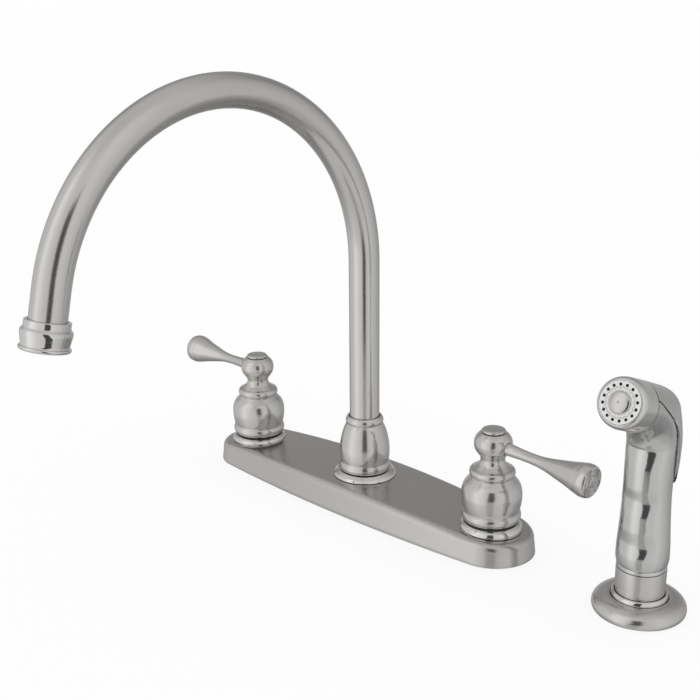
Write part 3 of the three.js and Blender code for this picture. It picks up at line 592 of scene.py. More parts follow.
def base_ring(name, x, radius, bore, top, node_name):
    """A ring whose foot follows the crown of the plate."""
    bottom = plate_top(abs(x) + radius) + GAP
    verts, faces, grain, along = turned_data([
        (bore, bottom, 0.15), (radius, bottom, 0.3), (radius, top - 3.3, 0.5),
        (radius - 1.2, top - 1.4, 0.5), (radius - 2.3, top - 0.7, 0.4),
        (radius - 3.2, top, 0.4), (bore, top, 0.2),
    ], shift(x), 120)
    crowned = lambda at, z: plate_top(at) + GAP + (z - bottom)
    verts = [(px, py, crowned(px, pz) if pz < bottom + RING_FOOT else pz) for px, py, pz in verts]
    make(name, verts, faces, POLISHED, "fixed", (node_name,), grain, along)


# ------------------------------------------------------------------ handles


def handle(side, x):
    place = shift(x) @ turn(180 if side == "hot" else 0, "Z")
    body = f"{side}_handle"
    wide = lambda share: share * HANDLE["radius"]
    slim = lambda share: share * HANDLE["ball"]
    stem = 0.36 * HANDLE["ball"]
    stem_top = handle_at(0.745)
    screw_seat = handle_at(0.847)
    outside = [
        (0.86, 0.0, 0.2), (0.935, 0.014), (0.978, 0.045), (0.981, 0.075),
        (0.955, 0.1), (0.928, 0.11, 0.1), (0.930, 0.126, 0.2), (0.962, 0.168),
        (0.99, 0.23), (1, 0.29), (0.989, 0.345), (0.95, 0.395),
        (0.88, 0.437), (0.77, 0.476), (0.703, 0.499, 0.2), (0.716, 0.512),
        (0.75, 0.535), (0.75, 0.566), (0.712, 0.587),
    ]
    neck = [
        (0.98, 0.603, 0.3), (0.86, 0.622), (0.75, 0.642), (0.675, 0.665),
        (0.637, 0.695), (0.67, 0.728), (0.79, 0.765), (0.92, 0.803),
        (0.985, 0.843), (1, 0.882), (0.975, 0.919), (0.88, 0.96),
        (0.69, 1, 0.3),
    ]
    rows = [(wide(r), handle_at(z), *size) for r, z, *size in outside]
    rows += [(slim(r), handle_at(z), *size) for r, z, *size in neck]
    cap_room, screw_hole, bore, cavity = slim(0.466), slim(0.233), stem + GAP, wide(0.8)
    rows += [(cap_room, handle_at(1), 0.2), (cap_room, screw_seat, 0),
             (screw_hole, screw_seat, 0), (screw_hole, stem_top + GAP, 0),
             (bore, stem_top + GAP, 0), (bore, handle_at(0.5), 0),
             (wide(0.54), handle_at(0.45), 0), (cavity, handle_at(0.33), 0),
             (cavity, handle_at(0), 0.2)]
    verts, faces, grain, along = turned_data(rows, place, 96, 5)
    axis = place @ shift(LEVER_SEAT, 0, LEVER_Z) @ turn(DROOP[side], "Y") @ turn(90, "Y") \
        @ shift(0, 0, -LEVER_SEAT)
    root = slim(0.32)
    hub = make(f"{side}_hub", verts, faces, BRUSHED, body, (), grain, along)
    cut_by(hub, rod(root + GAP, LEVER_SEAT, slim(1) + 3, axis, 64),
           rod(2.5, slim(0.53), LEVER_SEAT + 1, axis, 32))
    finish_piece(hub, BRUSHED, body, (f"{side}_handle_hub",), 32)

    # The lever's widths run from 1 at its waist to end_share at its end.
    reach, grip, end, end_share = LEVER["reach"], LEVER["grip"], LEVER["end"], 3.2
    start = LEVER_SEAT + GAP
    peg = 2.2
    width = lambda share: grip + (share - 1) / (end_share - 1) * (end - grip)
    lever = [(0, slim(0.565), 0), (peg, slim(0.565), 0.3), (peg, start, 0), (root, start, 0.3)]
    shape = [
        (1.19, 0.05), (1.1, 0.12), (1, 0.24), (1.03, 0.36), (1.2, 0.455),
        (1.5, 0.54), (1.92, 0.64), (2.38, 0.745), (2.78, 0.82),
        (2.97, 0.86), (3.0, 0.873, 0.3), (3.08, 0.884), (3.17, 0.905),
        (3.2, 0.928), (3.18, 0.953), (3.07, 0.976), (2.9, 0.991),
        (2.7, 0.9985), (2.54, 0.9985, 0.25), (2.42, 0.986, 0.2), (2.3, 0.986, 0.2),
        (2.24, 0.994, 0.25), (2.06, 0.994, 0.25), (2.0, 0.984, 0.2), (1.86, 0.984, 0.2),
    ]
    lever_at = lambda share: start + share * (reach - start)
    lever += [(width(r), lever_at(a), *size) for r, a, *size in shape]
    face = lever_at(0.984)
    lever += [(5.1, face + 0.55, 0.3), (4.4, face + 0.5, 0.2), (4.1, face, 0.2),
              (3.5, face, 0.2), (3.2, face + 0.6, 0.3), (1.5, face + 0.85, 0.5),
              (0, face + 0.9, 0)]
    turned(f"{side}_lever_grip", lever, SATIN, body, (f"{side}_lever",), axis, 96, 7)

    bottom = handle_at(1) + GAP
    top = bottom + HANDLE["cap"]
    radius, spigot = slim(0.62), slim(0.43)
    turned(f"{side}_cap", [
        (0, screw_seat + 4.2, 0), (spigot, screw_seat + 4.2, 0.2), (spigot, bottom, 0.1),
        (radius - 0.15, bottom, 0.12), (radius, bottom + 0.35, 0.2),
        (radius - 0.05, top - 0.55, 0.3), (radius - 0.75, top - 0.05, 0.4),
        (radius - 1.5, top - 0.02, 0.1),
        (radius - 1.62, top - 0.16, 0.08), (radius - 1.78, top - 0.03, 0.08), (0, top, 0),
    ], SATIN, body, (f"{side}_index_cap",), place, 72)
    base_ring(f"{side}_ring", x, 1.045 * HANDLE["radius"], VALVE_BODY + GAP, BASE_RING_TOP,
              f"{side}_base_ring")
    # Painted shade: a black ring fills the gap between the hub and the base ring, to darken that
    # gap.
    gap_shade_ring = wide(0.91)
    turned(f"{side}_seal", [
        (VALVE_BODY + 0.4, BASE_RING_TOP + 0.05, 0), (gap_shade_ring - 0.95, BASE_RING_TOP + 0.05, 0.1),
        (gap_shade_ring - 0.05, BASE_RING_TOP - 0.46, 0.1), (gap_shade_ring, HANDLE_BOTTOM + 0.15, 0.1),
        (gap_shade_ring - 0.9, HANDLE_BOTTOM - 0.1, 0.1), (VALVE_BODY + 0.4, HANDLE_BOTTOM - 0.1, 0),
    ], RUBBER, "fixed", (), shift(x), 96)


handle("hot", -HANDLE_X)
handle("cold", HANDLE_X)

# ------------------------------------------------------------------ spout


def spout_nut():
    out = lambda extra: TUBE["radius"] + extra
    outside = [
        (5.9, 0, 0.3), (6.5, 0.01), (6.9, 0.045), (6.87, 0.085), (6.5, 0.125),
        (6.05, 0.15, 0.15), (6.05, 0.17, 0.25), (6.35, 0.23), (6.5, 0.31),
        (6.5, 0.39), (6.25, 0.47), (5.8, 0.55), (5.05, 0.65), (4, 0.745),
        (2.8, 0.825), (2.0, 0.866, 0.2), (2.35, 0.885), (2.55, 0.915),
        (2.35, 0.95), (1.75, 0.982), (1.1, 1, 0.2), (0.5, 1, 0.15),
    ]
    rows = [(out(r), spout_at(z), *size) for r, z, *size in outside]
    ledge = spout_at(0.533)
    rows += [(out(GAP), spout_at(0.98), 0.1), (out(GAP), spout_at(0.69), 0),
             (HUB_BORE - GAP, spout_at(0.69), 0), (HUB_BORE - GAP, ledge, 0),
             (HUB_RADIUS + GAP, ledge, 0), (HUB_RADIUS + GAP, spout_at(0), 0.1)]
    turned("spout_nut_shell", rows, BRUSHED, "fixed", ("spout_nut",), sides=120)
    base_ring("spout_ring", 0, TUBE["radius"] + 11, HUB_RADIUS + GAP, SPOUT_RING_TOP,
              "spout_base_ring")


def spout_path(steps_arch=96):
    """Centres and directions up the riser, over the arch and down the last straight."""
    seat = spout_at(0.21) + GAP
    path = [((0, 0, seat + (TUBE["riser"] - seat) * i / 12), (0, 0, 1)) for i in range(12)]
    for i in range(steps_arch + 1):
        angle = math.radians(TUBE["angle"] * i / steps_arch)
        path.append(((0, TUBE["arch"] * (math.cos(angle) - 1),
                      TUBE["riser"] + TUBE["arch"] * math.sin(angle)),
                     (0, -math.sin(angle), math.cos(angle))))
    (_, y, z), (_, dy, dz) = path[-1]
    for i in range(1, 4):
        step = TUBE["straight"] * i / 3
        path.append(((0, y + dy * step, z + dz * step), (0, dy, dz)))
    return path


def spout_tube(sides=72):
    path = spout_path()
    verts, grain, along, loops = [], [], [], []
    across = Vector((1, 0, 0))
    travelled = 0.0
    for radius, line in ((TUBE["radius"], path), (TUBE["radius"] - TUBE["wall"], path[::-1])):
        before = Vector(line[0][0])
        for centre, way in line:
            centre = Vector(centre)
            travelled += (centre - before).length
            before = centre
            back = Vector(way).cross(across)
            loops.append(numbers(verts, sides))
            for c, s in circle(sides):
                verts.append(centre + radius * (c * across + s * back))
                grain.append((c * GRAIN_ROUND, s * GRAIN_ROUND, travelled))
                along.append(-s * across + c * back)
    make("gooseneck", verts, skin(loops, True), BRUSHED, "spout", ("spout_tube",),
         grain, along, 50)


def mouth_place():
    (_, y, z), _ = spout_path()[-1]
    return shift(0, y, z) @ turn(TUBE["angle"], "X")


def outlet():
    place = mouth_place()
    collar = TUBE["radius"] + 3.35
    out = lambda less: collar - less
    seat = TUBE["radius"] + GAP
    back = -OUTLET["cover"]
    end = OUTLET["length"] - OUTLET["cover"]
    turned("outlet_shell", [
        (seat, back, 0.15), (out(1.75), back, 0.3), (out(1.35), back + 0.4, 0.3),
        (out(1.4), back + 3.4, 0.35), (out(0.75), back + 4.2), (out(0.15), back + 5.0),
        (out(0.02), back + 6.2), (out(0.25), back + 7.8), (out(0.6), back + 9.6),
        (out(1), end - 2.9, 0.25), (out(0.75), end - 2.3), (out(0.2), end - 1.8),
        (out(0), end - 1.1), (out(0.35), end - 0.35), (out(1.1), end, 0.3),
        (out(2.4), end, 0.25), (out(2.4), 3.6, 0), (out(4.2), 3.6, 0), (out(4.2), GAP, 0),
        (seat, GAP, 0),
    ], POLISHED, "spout", ("outlet_collar",), place, 120)
    radius = collar - 2.4 - GAP
    bottom = end - 0.8
    turned("aerator_cup", [
        (radius - 2.4, 3.9, 0), (radius, 3.9, 0), (radius, bottom, 0.3), (radius - 1, bottom, 0.3),
        (radius - 1, bottom - 2.6, 0.1), (radius - 2.4, bottom - 2.6, 0.2),
    ], NYLON, "spout", ("aerator_body",), place, 96)
    aerator_screen(place, radius - 1 - GAP, bottom - 2.6 + GAP)


def punched_disc(radius, holes, sides, bottom, top):
    """A disc with round holes, as a solid: outline loop and hole loops filled between."""
    build = bmesh.new()
    pairs = [[[build.verts.new((x + r * c, y + r * s, z)) for c, s in circle(count)]
              for z in (bottom, top)] for x, y, r, count in [(0, 0, radius, sides), *holes]]
    for level in zip(*pairs):
        edges = [build.edges.new(ends) for loop in level
                 for ends in zip(loop, loop[1:] + loop[:1])]
        bmesh.ops.triangle_fill(build, use_beauty=True, use_dissolve=False, edges=edges,
                                normal=(0, 0, 1))
    for pair in pairs:
        for face in skin(pair):
            build.faces.new(face)
    build.verts.index_update()
    verts = [tuple(v.co) for v in build.verts]
    faces = [tuple(v.index for v in f.verts) for f in build.faces]
    build.free()
    return verts, faces


def aerator_screen(place, radius, low):
    holes = []
    spacing = 1.35
    for row in range(-6, 7):
        for column in range(-6, 7):
            x = spacing * (column + 0.5 * (row % 2))
            y = spacing * 0.866 * row
            if math.hypot(x, y) < radius - 1.1:
                holes.append((x, y, 0.45, 6))
    verts, faces = punched_disc(radius, holes, 64, low, low + 1.2)
    verts = [place @ Vector(v) for v in verts]
    make("aerator_mesh", verts, faces, STEEL, "spout", ("aerator_screen",))


spout_nut()
spout_tube()
outlet()

# ------------------------------------------------------------------ spray holder and ferrule

ferrule = SPRAY["radius"]
spray_place = shift(SPRAY_X) @ turn(SPRAY["turn"], "Z")
BUSHING = 5.0
holder_shank = 1.07 * ferrule
connector_top = 0.7 * SPRAY["bottom"]
swivel_radius = 0.71 * ferrule
connector_radius = 0.6 * ferrule
water_radius = 0.4 * ferrule
ferrule_top = SPRAY["bottom"] - 2.8


def holder():
    out = lambda share: share * ferrule
    height = HOLDER["height"]
    seat = ferrule + 2.1
    turned("spray_flange", [
        (holder_shank, -HOLDER["shank"], 0.4), (holder_shank, 0, 0), (out(1.8), 0, 0.3),
        (out(1.85), 0.1 * height), (out(1.872), 0.28 * height),
        (out(1.855), 0.45 * height), (out(1.79), 0.64 * height),
        (out(1.67), 0.81 * height), (out(1.52), 0.92 * height),
        (out(1.37), 0.985 * height), (seat + 1.2, height, 0.3), (seat, 0.96 * height, 0.25),
        (seat, BUSHING - GAP, 0), (ferrule - 0.4, BUSHING - GAP, 0), (ferrule - 0.85, 0.6, 0),
        (out(0.84), 0.6, 0), (out(0.84), -HOLDER["shank"], 0.3),
    ], SATIN, "fixed", ("spray_holder",), spray_place, 120)
    radius = ferrule + 1.8
    bore = ferrule + 0.25
    top = BUSHING + HOLDER["ring"]
    turned("spray_ring", [
        (bore, BUSHING, 0), (radius, BUSHING, 0), (radius, top - 2.2, 0.4),
        (radius - 0.35, top - 0.7, 0.4), (radius - 0.95, top, 0.4), (bore, top, 0.2),
    ], POLISHED, "fixed", ("holder_bushing",), spray_place, 120)


def spray_foot():
    bore = connector_radius + GAP
    neck_top = SPRAY["bottom"] + 7.5
    turned("spray_ferrule_skin", [
        (bore, 1, 0.2), (ferrule - 1.45, 1, 0.4), (ferrule - 0.85, 4.3, 0.3),
        (ferrule - 0.25, 5.4, 0.3), (ferrule - 0.15, 9, 0.2), (ferrule, ferrule_top, 0.35),
        (swivel_radius, ferrule_top, 0), (swivel_radius, neck_top, 0), (water_radius, neck_top, 0),
        (water_radius, connector_top + GAP, 0), (bore, connector_top + GAP, 0),
    ], SATIN, "spray_base", ("spray_ferrule",), spray_place, 120)
    turned("swivel_ring_skin", [
        (swivel_radius + GAP, ferrule_top + GAP, 0), (ferrule - 0.1, ferrule_top + GAP, 0.35),
        (ferrule - 0.1, SPRAY["bottom"] - GAP, 0.35),
        (swivel_radius + GAP, SPRAY["bottom"] - GAP, 0),
    ], POLISHED, "spray_base", ("swivel_ring",), spray_place, 120)
    barb, root, inner = 0.94 * connector_radius, 0.86 * connector_radius, 0.5 * connector_radius
    turned("hose_tail", [
        (inner, -14, 0.2), (root, -14, 0.2), (barb, -12.6, 0.15), (root, -11.4, 0.15),
        (barb, -10, 0.15), (root, -8.8, 0.15), (barb, -7.4, 0.15), (root, -6.2, 0.15),
        (connector_radius, -4.4, 0.2), (connector_radius, connector_top, 0.2),
        (inner, connector_top, 0),
    ], BRASS, "spray_base", ("hose_connector",), spray_place, 72)


holder()
spray_foot()

# ------------------------------------------------------------------ spray wand

wand_height = SPRAY["height"] - SPRAY["bottom"]
wand_at = lambda share: SPRAY["bottom"] + share * wand_height
girth = lambda share: share * ferrule
tilt = math.radians(SPRAY["tilt"])
nose = Vector((math.cos(tilt), -math.sin(tilt)))
seam_centre = nose * SPRAY["nose"] + Vector((-SPRAY["forward"], SPRAY["height"]))
pivot = (girth(-0.9), wand_at(0.956))
bend = (girth(0.06), wand_at(0.84))
valve_height = wand_at(0.72)
CHEEK = 3.0
PIN = 1.5
TRIGGER_WALL = 1.2
TRIGGER_PRESS = 2.5
SEAM = 0.7


def head_place():
    return spray_place @ shift(0, -SPRAY["forward"], SPRAY["height"]) \
        @ turn(90 - SPRAY["tilt"], "X")


def behind(distance, r):
    point = seam_centre + nose * distance
    return (point.x, point.y, r)


def bent_data(stations, per, sides, grip=None):
    """A round body whose axis bends in the wand's YZ plane, through stations (y, z, r)."""
    line = spline(stations, per)
    verts, rings = [], []
    for k, (y, z, r) in enumerate(line):
        before, after = line[max(k - 1, 0)], line[min(k + 1, len(line) - 1)]
        way = (Vector(after[:2]) - Vector(before[:2])).normalized()
        rings.append(numbers(verts, sides))
        for back, across in circle(sides):
            radius = r - (grip(back, z) if grip else 0)
            verts.append((across * radius, y + back * radius * way.y, z - back * radius * way.x))
    faces = skin(rings) + [tuple(rings[0]), tuple(rings[-1])]
    return [spray_place @ Vector(v) for v in verts], faces


def station(y, z, r, less=0.0):
    return (girth(y), wand_at(z), girth(r) - less)


def head_piece(front, back, start, end, sides=96):
    place = spray_place @ shift(0, seam_centre.x, seam_centre.y) @ turn(90 - SPRAY["tilt"], "X")
    return turned_solid([(0, -end, 0), (back, -end, 0), (front, -start, 0), (0, -start, 0)],
                        place, sides)


def ball_solid(radius, segments=64):
    rows = [(0, -radius, 0)]
    steps = segments // 2
    for i in range(1, steps):
        angle = -math.pi / 2 + math.pi * i / steps
        rows.append((radius * math.cos(angle), radius * math.sin(angle), 0))
    rows.append((0, radius, 0))
    return turned_solid(rows, spray_place @ shift(0, *bend), segments)


def across_rod(radius, start, end, sides=40):
    return rod(radius, start, end, spray_place @ shift(0, *pivot) @ turn(90, "Y"), sides)


GRIPS = ((0.14, 0.45), (0.368, 0.6), (0.628, 0.68))
GRIP_HALF = 7.6
GRIP_DEPTH = 1.0
WAND_GRAIN = 0.2


def smooth_share(share):
    share = min(1.0, max(0.0, share))
    return share * share * (3 - 2 * share)


def finger_grips(back, z):
    """How deep the hollows for the fingers are, down the front of the wand."""
    depth = 0.0
    for middle, deepest in GRIPS:
        up = 0.5 + (z - wand_at(middle)) / (2 * GRIP_HALF)
        depth = max(depth, min(up / deepest, (1 - up) / (1 - deepest)))
    return GRIP_DEPTH * smooth_share((-back - 0.5) / 0.5) * smooth_share(depth)


def wand_skin():
    stations = [station(*row) for row in (
        (0, 0, 1.0), (0, 0.012, 1.025), (0, 0.035, 1.045), (0, 0.1, 1.036), (0, 0.2, 0.992),
        (0, 0.3, 0.954), (0, 0.41, 0.935), (0.02, 0.51, 0.944), (0.05, 0.61, 0.958),
        (0.07, 0.69, 0.965), (-0.06, 0.755, 0.967), (-0.48, 0.84, 0.98))]
    stations += [behind(8.5, girth(0.99)), behind(0, girth(0.995))]
    return solid(*bent_data(stations, 16, 128, finger_grips))


def envelope(less):
    limb = [station(*row, less) for row in (
        (0.06, 0.84, 0.99), (0.19, 0.77, 1.022), (0.232, 0.7, 1.055), (0.2, 0.63, 1.065),
        (0.14, 0.555, 1.056), (0.03, 0.49, 1.03), (-0.06, 0.425, 0.98))]
    body = solid(*bent_data(limb, 8, 96))
    join_to(body, ball_solid(girth(0.99) - less, 96),
            head_piece(girth(1.003) - less, girth(0.99) - less, GAP - less, 1.85 * ferrule, 96))
    return body


def region(margin):
    """Side view of what lies above and behind the trigger's edge, as a block."""
    edge = spline([(girth(y) - 0.8 * margin, wand_at(z) - 0.6 * margin) for y, z in (
        (-1.75, 0.998), (-1.42, 0.968), (-0.97, 0.915), (-0.6, 0.874), (-0.22, 0.829),
        (0.06, 0.782), (0.21, 0.727), (0.27, 0.667), (0.285, 0.6), (0.3, 0.54), (0.37, 0.487),
        (0.6, 0.447))], 8)
    loop = edge + [(girth(2), wand_at(0.427) - margin), (girth(2), wand_at(1.2)),
                   (girth(-1.75) - 0.8 * margin, wand_at(1.2))]
    half = girth(1.3)
    verts = [spray_place @ Vector((x, y, z)) for x in (-half, half) for y, z in loop]
    left, right = numbers([], len(loop)), numbers(loop, len(loop))
    return solid(verts, [tuple(left), tuple(right[::-1])] + skin([left, right]))


def cheek_rods(radius, start):
    return [across_rod(radius, sign * start, sign * girth(1)) for sign in (-1, 1)]


def wand_core():
    post = rod(girth(0.7), SPRAY["bottom"], bend[1], spray_place, 64)
    join_to(post, ball_solid(girth(0.7), 48),
            head_piece(girth(0.8), girth(0.7), -1, 1.95 * ferrule, 64))
    cut_by(post, *cheek_rods(CHEEK + GAP, girth(0.62) - GAP))
    return post


def wand_grain(obj):
    """Brushing data by place."""
    write(obj.data, grain=[v.co / MM * WAND_GRAIN for v in obj.data.vertices])


def press_room():
    """Room in the wand's skin for the trigger's shell when it is pressed."""
    room = region(GAP)
    cut_by(room, envelope(TRIGGER_WALL + 0.15))
    hinge = in_metres(spray_place @ shift(0, *pivot))
    room.data.transform(hinge @ turn(-TRIGGER_PRESS, "X") @ hinge.inverted())
    return room


def wand():
    body = wand_skin()
    hollow = region(SEAM)
    cut_by(hollow, wand_core())
    cut_by(body, press_room())
    bottom = SPRAY["bottom"]
    socket = rod(swivel_radius + 0.4, bottom - 1, bottom + 8, spray_place, 64)
    pin = across_rod(PIN, -girth(0.95), girth(0.95), 24)
    water = rod(water_radius - 0.4, bottom, valve_height - 3, spray_place, 24)
    rise = rod(3, valve_height, wand_at(0.87), spray_place @ shift(0, girth(-0.15), 0), 24)
    sideways = spray_place @ shift(0, 0, valve_height) @ turn(-90, "X")
    chamber = rod(4.6, girth(-0.45), girth(0.48), sideways, 32)
    plunger = rod(2.3, girth(0.4), girth(0.9), sideways, 24)
    cut_by(body, hollow, pin, socket, water, rise, chamber, plunger,
           head_piece(girth(0.69), girth(0.69), -1, 6.5), head_piece(4, 4, 6, 20, 32))
    body.name = "wand_skin"
    wand_grain(body)
    finish_piece(body, CHROME, "spray_wand", ("spray_body",), 30)

    shell = envelope(0)
    keep_in(shell, region(0))
    inside = envelope(TRIGGER_WALL)
    cut_by(inside, *cheek_rods(CHEEK, girth(0.62)))
    cut_by(shell, inside, across_rod(PIN, -girth(0.83), girth(0.83), 24))
    shell.name = "trigger_shell"
    wand_grain(shell)
    finish_piece(shell, CHROME, "trigger", ("spray_trigger",), 30)


wand()

HOLES = 16


def scallop_shade_line(place, steps=320, width=0.2, rise=0.16):
    """A fine raised line that bends round the inner side of each hole on the white face. Its grey
    is painted shade, for the shaded edge of a low step in the face.
    """
    verts, loops = [], []
    section = [(-width, -0.1), (-0.6 * width, 0.75 * rise), (0, rise), (0.6 * width, 0.75 * rise),
               (width, -0.1)]
    for i, (c, s) in enumerate(circle(steps)):
        wave = abs(math.sin(HOLES * math.pi * i / steps)) ** 1.5
        loops.append(numbers(verts, len(section)))
        for out, up in section:
            r = girth(0.585 - 0.045 * wave) + out
            verts.append(place @ Vector((r * c, r * s, up)))
    make("face_scallop_shade", verts, skin(loops, True), FACE_SHADE_LINE, "spray_wand", ())


def nozzle():
    place = head_place()
    rim = girth(0.974)
    face = girth(0.8)
    seam = -SPRAY["nose"] + GAP
    spigot = girth(0.69) - GAP
    bore = spigot - 1.9
    turned("nozzle_shell", [
        (bore, seam - 5.5, 0), (spigot, seam - 5.5, 0.2), (spigot, seam, 0),
        (girth(0.985), seam, 0.25), (girth(0.99), seam + 0.6), (girth(0.987), -8),
        (rim + 0.1, -4.4), (rim - 0.05, -2.8), (rim - 0.45, -1.5),
        (rim - 1.0, -0.65), (rim - 1.6, -0.15, 0.2), (face + 0.4, 0, 0.25),
        (face + 0.12, -0.25, 0.1), (face + 0.12, -3, 0), (spigot - 0.4, -3, 0),
        (spigot - 0.4, seam + 1, 0), (bore, seam + 1, 0),
    ], POLISHED, "spray_wand", ("nozzle_collar",), place, 120)
    centres = [(girth(0.664) * c, girth(0.664) * s) for c, s in circle(HOLES, 0.5)]
    holes = [(x, y, 0.85, 20) for x, y in centres] + [(0, 0, 2.3, 24)]
    verts, faces = punched_disc(face, holes, 96, -2.7, 0)
    verts = [place @ Vector(v) for v in verts]
    make("face_disc", verts, faces, WHITE, "spray_wand", ("spray_face",))
    # Painted shade: near-black plugs just under the face fill its holes, for the darkness down in
    # them.
    verts, faces = [], []
    for x, y in centres:
        ring, quads, _, _ = turned_data(rod_rows(0.83, -2.6, -0.25), place @ shift(x, y), 20)
        faces += [tuple(len(verts) + i for i in quad) for quad in quads]
        verts += ring
    make("face_hole_shade", verts, faces, HOLE_SHADE, "spray_wand", ())
    scallop_shade_line(place)
    radius = girth(0.43)
    turned("dome_button", [
        (0, -2.6, 0), (2, -2.6, 0.2), (2, GAP, 0), (radius - 0.1, GAP, 0.1),
        (radius, 0.55, 0.2), (0.96 * radius, 0.95), (0.85 * radius, 1.32),
        (0.7 * radius, 1.6), (0.5 * radius, 1.82), (0.3 * radius, 1.92),
        (0.12 * radius, 1.95, 0.15), (0.07 * radius, 1.7, 0.1), (0, 1.66, 0),
    ], SATIN, "spray_wand", ("face_dome",), place, 72)


nozzle()

# ------------------------------------------------------------------ CAD nodes that stay

# These carry no brushing data, so their brass has to be one that needs none.
LOOKS = {"brushed": STEEL, "polished": POLISHED, "brass": CAST_BRASS, "copper": COPPER,
         "steel": STEEL, "white": WHITE, "nylon": NYLON, "rubber": RUBBER}
slots = {part["node"]: part["material_slot"] for part in frame["record"]["subparts"]}
for name, obj in frame["nodes"].items():
    obj.data.materials.clear()
    obj.data.materials.append(LOOKS[slots[name]])
    # The floor is open to mirror rays, which would find the pieces that lie below it.
    obj.visible_glossy = min((obj.matrix_world @ Vector(c)).z for c in obj.bound_box) >= 0

# ------------------------------------------------------------------ floor, light and world

# The studio that the metal mirrors: light level by azimuth from the camera's side, with
# minus to the camera's left, for the walls and for the table below them.
AROUND = [(-180, 0.5), (-150, 0.5), (-130, 0.6), (-113, 0.7), (-95, 0.7), (-84, 0.8),
          (-70, 1.0), (-60, 1.0), (-45, 0.88), (-30, 0.78), (-18, 0.72), (0, 0.7), (19, 0.72),
          (38, 0.78), (60, 0.72), (75, 0.64), (90, 0.6), (113, 0.5), (130, 0.42), (150, 0.42),
          (180, 0.5)]
TABLE_AROUND = [(-180, 0.2), (-120, 0.3), (-90, 0.5), (-60, 0.62), (40, 0.62), (75, 0.5),
                (100, 0.25), (180, 0.2)]
TABLE_SHARE = [(-90, 1), (-50, 0.95), (-30, 0.6), (-20, 0), (90, 0)]
CEILING = 0.6
CEILING_SHARE = [(-90, 0), (45, 0), (75, 1), (90, 1)]
# A darker band low on the far wall, which the level top of the plate shows.
FAR_AROUND = [(-180, 0.3), (-150, 0.3), (-115, 0), (115, 0), (150, 0.3), (180, 0.3)]
FAR_UPWARD = [(-90, 0), (6, 0), (14, 1), (34, 1), (50, 0), (90, 0)]
# The dark card is upright, then leans away, then is upright again. Its rows are height,
# distance from the riser and half width, and its darkness runs across it and up it.
CARD_AZIMUTH = 43.3
CARD_ROWS = [(-420, 410, 94), (-90, 410, 94), (100, 661, 146), (600, 661, 146)]
CARD_ACROSS = [(-1, 0), (-0.76, 1), (0.76, 1), (1, 0)]
CARD_UPWARD = [(-420, 0.32), (-125, 0.32), (-62, 0.4), (-30, 0.9), (450, 0.9), (600, 0)]


def ramp(tree, value, stops):
    """A level that follows the stops (at, level), smoothly."""
    low, high = stops[0][0], stops[-1][0]
    span = node(tree, "ShaderNodeMapRange", Value=value, From_Min=low, From_Max=high)
    made = node(tree, "ShaderNodeValToRGB", Fac=span.outputs["Result"])
    made.color_ramp.interpolation = "EASE"
    marks = made.color_ramp.elements
    while len(marks) < len(stops):
        marks.new(0.5)
    for mark, (at, level) in zip(marks, stops):
        mark.position = (at - low) / (high - low)
        mark.color = (level, level, level, 1)
    return made.outputs["Color"]


def mixed(tree, share, first, second):
    mix = node(tree, "ShaderNodeMixShader")
    for socket, value in zip(mix.inputs, (share, first.outputs[0], second.outputs[0])):
        feed(tree, socket, value)
    return mix


def stage_sheet(name, rows, place):
    """A sheet of the stage from rows (height, distance, half width) in millimetres, and its
    material's node tree. The attribute "across" runs from -1 to 1 over its width."""
    corners = [(side * half, -away, z) for z, away, half in rows for side in (-1, 1)]
    faces = [(i, i + 1, i + 3, i + 2) for i in range(0, len(corners) - 2, 2)]
    obj = new_object(name, corners, faces)
    across = obj.data.attributes.new("across", "FLOAT", "POINT")
    across.data.foreach_set("value", [side for _ in rows for side in (-1.0, 1.0)])
    obj.matrix_world = in_metres(place)
    look, tree, _ = new_look(name)
    obj.data.materials.append(look)
    return tree


def floor():
    """White to the camera but for the object's soft shadow, pale to the object, and open to
    mirror rays, which see the studio go on below the horizon."""
    size, shade, glowing, drop = 12000.0, 0.93, 0.84, 0.1
    tree = stage_sheet("floor", [(0, size, size), (0, -size, size)], shift(0, 0, -drop))
    shader = fill(tree, tree.nodes["Principled BSDF"], Base_Color=(shade, shade, shade, 1),
                  Roughness=1.0, Specular_IOR_Level=0.0)
    rays = node(tree, "ShaderNodeLightPath")
    glow = node(tree, "ShaderNodeEmission", Strength=1.0, Color=(1, 1, 1, 1))
    share = math_node(tree, "MULTIPLY", rays.outputs["Is Camera Ray"], glowing)
    seen = mixed(tree, share, shader, glow)
    clear = node(tree, "ShaderNodeBsdfTransparent")
    last = mixed(tree, rays.outputs["Is Glossy Ray"], seen, clear)
    fill(tree, tree.nodes["Material Output"], Surface=last.outputs[0])


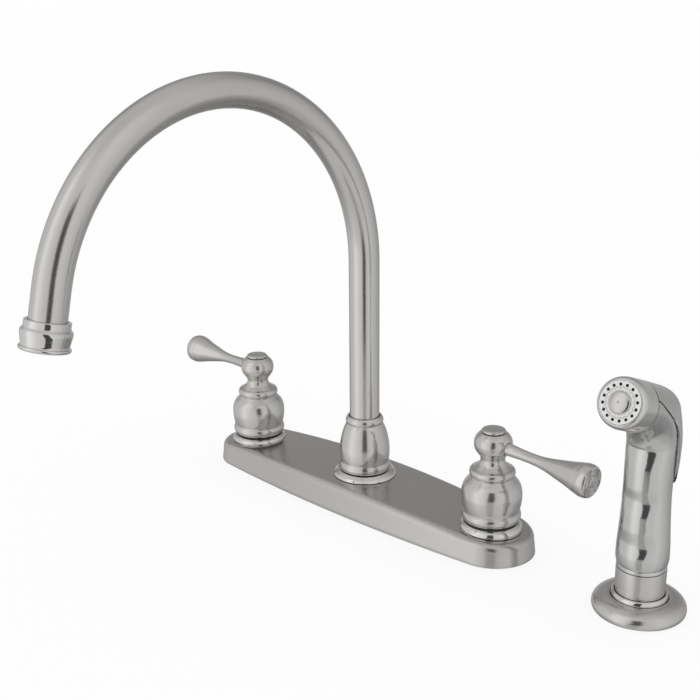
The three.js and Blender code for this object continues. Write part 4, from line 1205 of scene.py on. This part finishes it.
def card():
    """A dark card by the camera that mirror rays alone see. Upright round metal shows it as a
    dark streak near its middle."""
    tree = stage_sheet("dark_card", CARD_ROWS, turn(CARD_AZIMUTH, "Z"))
    spot = node(tree, "ShaderNodeTexCoord").outputs["Object"]
    parts = node(tree, "ShaderNodeSeparateXYZ", Vector=spot)
    across = node(tree, "ShaderNodeAttribute", attribute_name="across")
    height = math_node(tree, "MULTIPLY", parts.outputs["Z"], 1 / MM)
    dark = math_node(tree, "MULTIPLY", ramp(tree, across.outputs["Fac"], CARD_ACROSS),
                     ramp(tree, height, CARD_UPWARD))
    rays = node(tree, "ShaderNodeLightPath")
    share = math_node(tree, "MULTIPLY", dark, rays.outputs["Is Glossy Ray"])
    black = node(tree, "ShaderNodeEmission", Strength=0.0)
    last = mixed(tree, share, node(tree, "ShaderNodeBsdfTransparent"), black)
    tree.nodes.remove(tree.nodes["Principled BSDF"])
    fill(tree, tree.nodes["Material Output"], Surface=last.outputs[0])


def world():
    """Plain white light, with a painted studio for mirror rays."""
    studio = bpy.data.worlds.new("studio")
    bpy.context.scene.world = studio
    studio.use_nodes = True
    studio.cycles.sampling_method = "NONE"
    tree = studio.node_tree
    way = node(tree, "ShaderNodeTexCoord").outputs["Generated"]

    def dot(vector):
        made = node(tree, "ShaderNodeVectorMath", operation="DOT_PRODUCT")
        for socket, value in zip(made.inputs, (way, vector)):
            feed(tree, socket, value)
        return made.outputs["Value"]

    def between(first, second, share):
        rest = math_node(tree, "MULTIPLY", first, math_node(tree, "SUBTRACT", 1.0, share))
        return math_node(tree, "MULTIPLY_ADD", share, second, rest)

    yaw = math.radians(CAMERA["yaw"])
    right = dot((math.cos(yaw), math.sin(yaw), 0))
    toward = dot((math.sin(yaw), -math.cos(yaw), 0))
    degrees = 180 / math.pi
    azimuth = math_node(tree, "MULTIPLY", math_node(tree, "ARCTAN2", right, toward), degrees)
    height = math_node(tree, "MULTIPLY", math_node(tree, "ARCSINE", dot((0, 0, 1))), degrees)
    far = math_node(tree, "MULTIPLY", ramp(tree, azimuth, FAR_AROUND),
                    ramp(tree, height, FAR_UPWARD))
    walls = math_node(tree, "MULTIPLY", ramp(tree, azimuth, AROUND),
                      math_node(tree, "SUBTRACT", 1.0, far))
    level = between(walls, ramp(tree, azimuth, TABLE_AROUND), ramp(tree, height, TABLE_SHARE))
    level = between(level, CEILING, ramp(tree, height, CEILING_SHARE))
    mirrored = node(tree, "ShaderNodeBackground", Strength=1.0, Color=level)
    plain_light = fill(tree, tree.nodes["Background"], Color=(1, 1, 1, 1), Strength=1.0)
    rays = node(tree, "ShaderNodeLightPath")
    last = mixed(tree, rays.outputs["Is Glossy Ray"], plain_light, mirrored)
    fill(tree, tree.nodes["World Output"], Surface=last.outputs[0])


floor()
card()
world()

bpy.context.scene.view_settings.view_transform = "Standard"
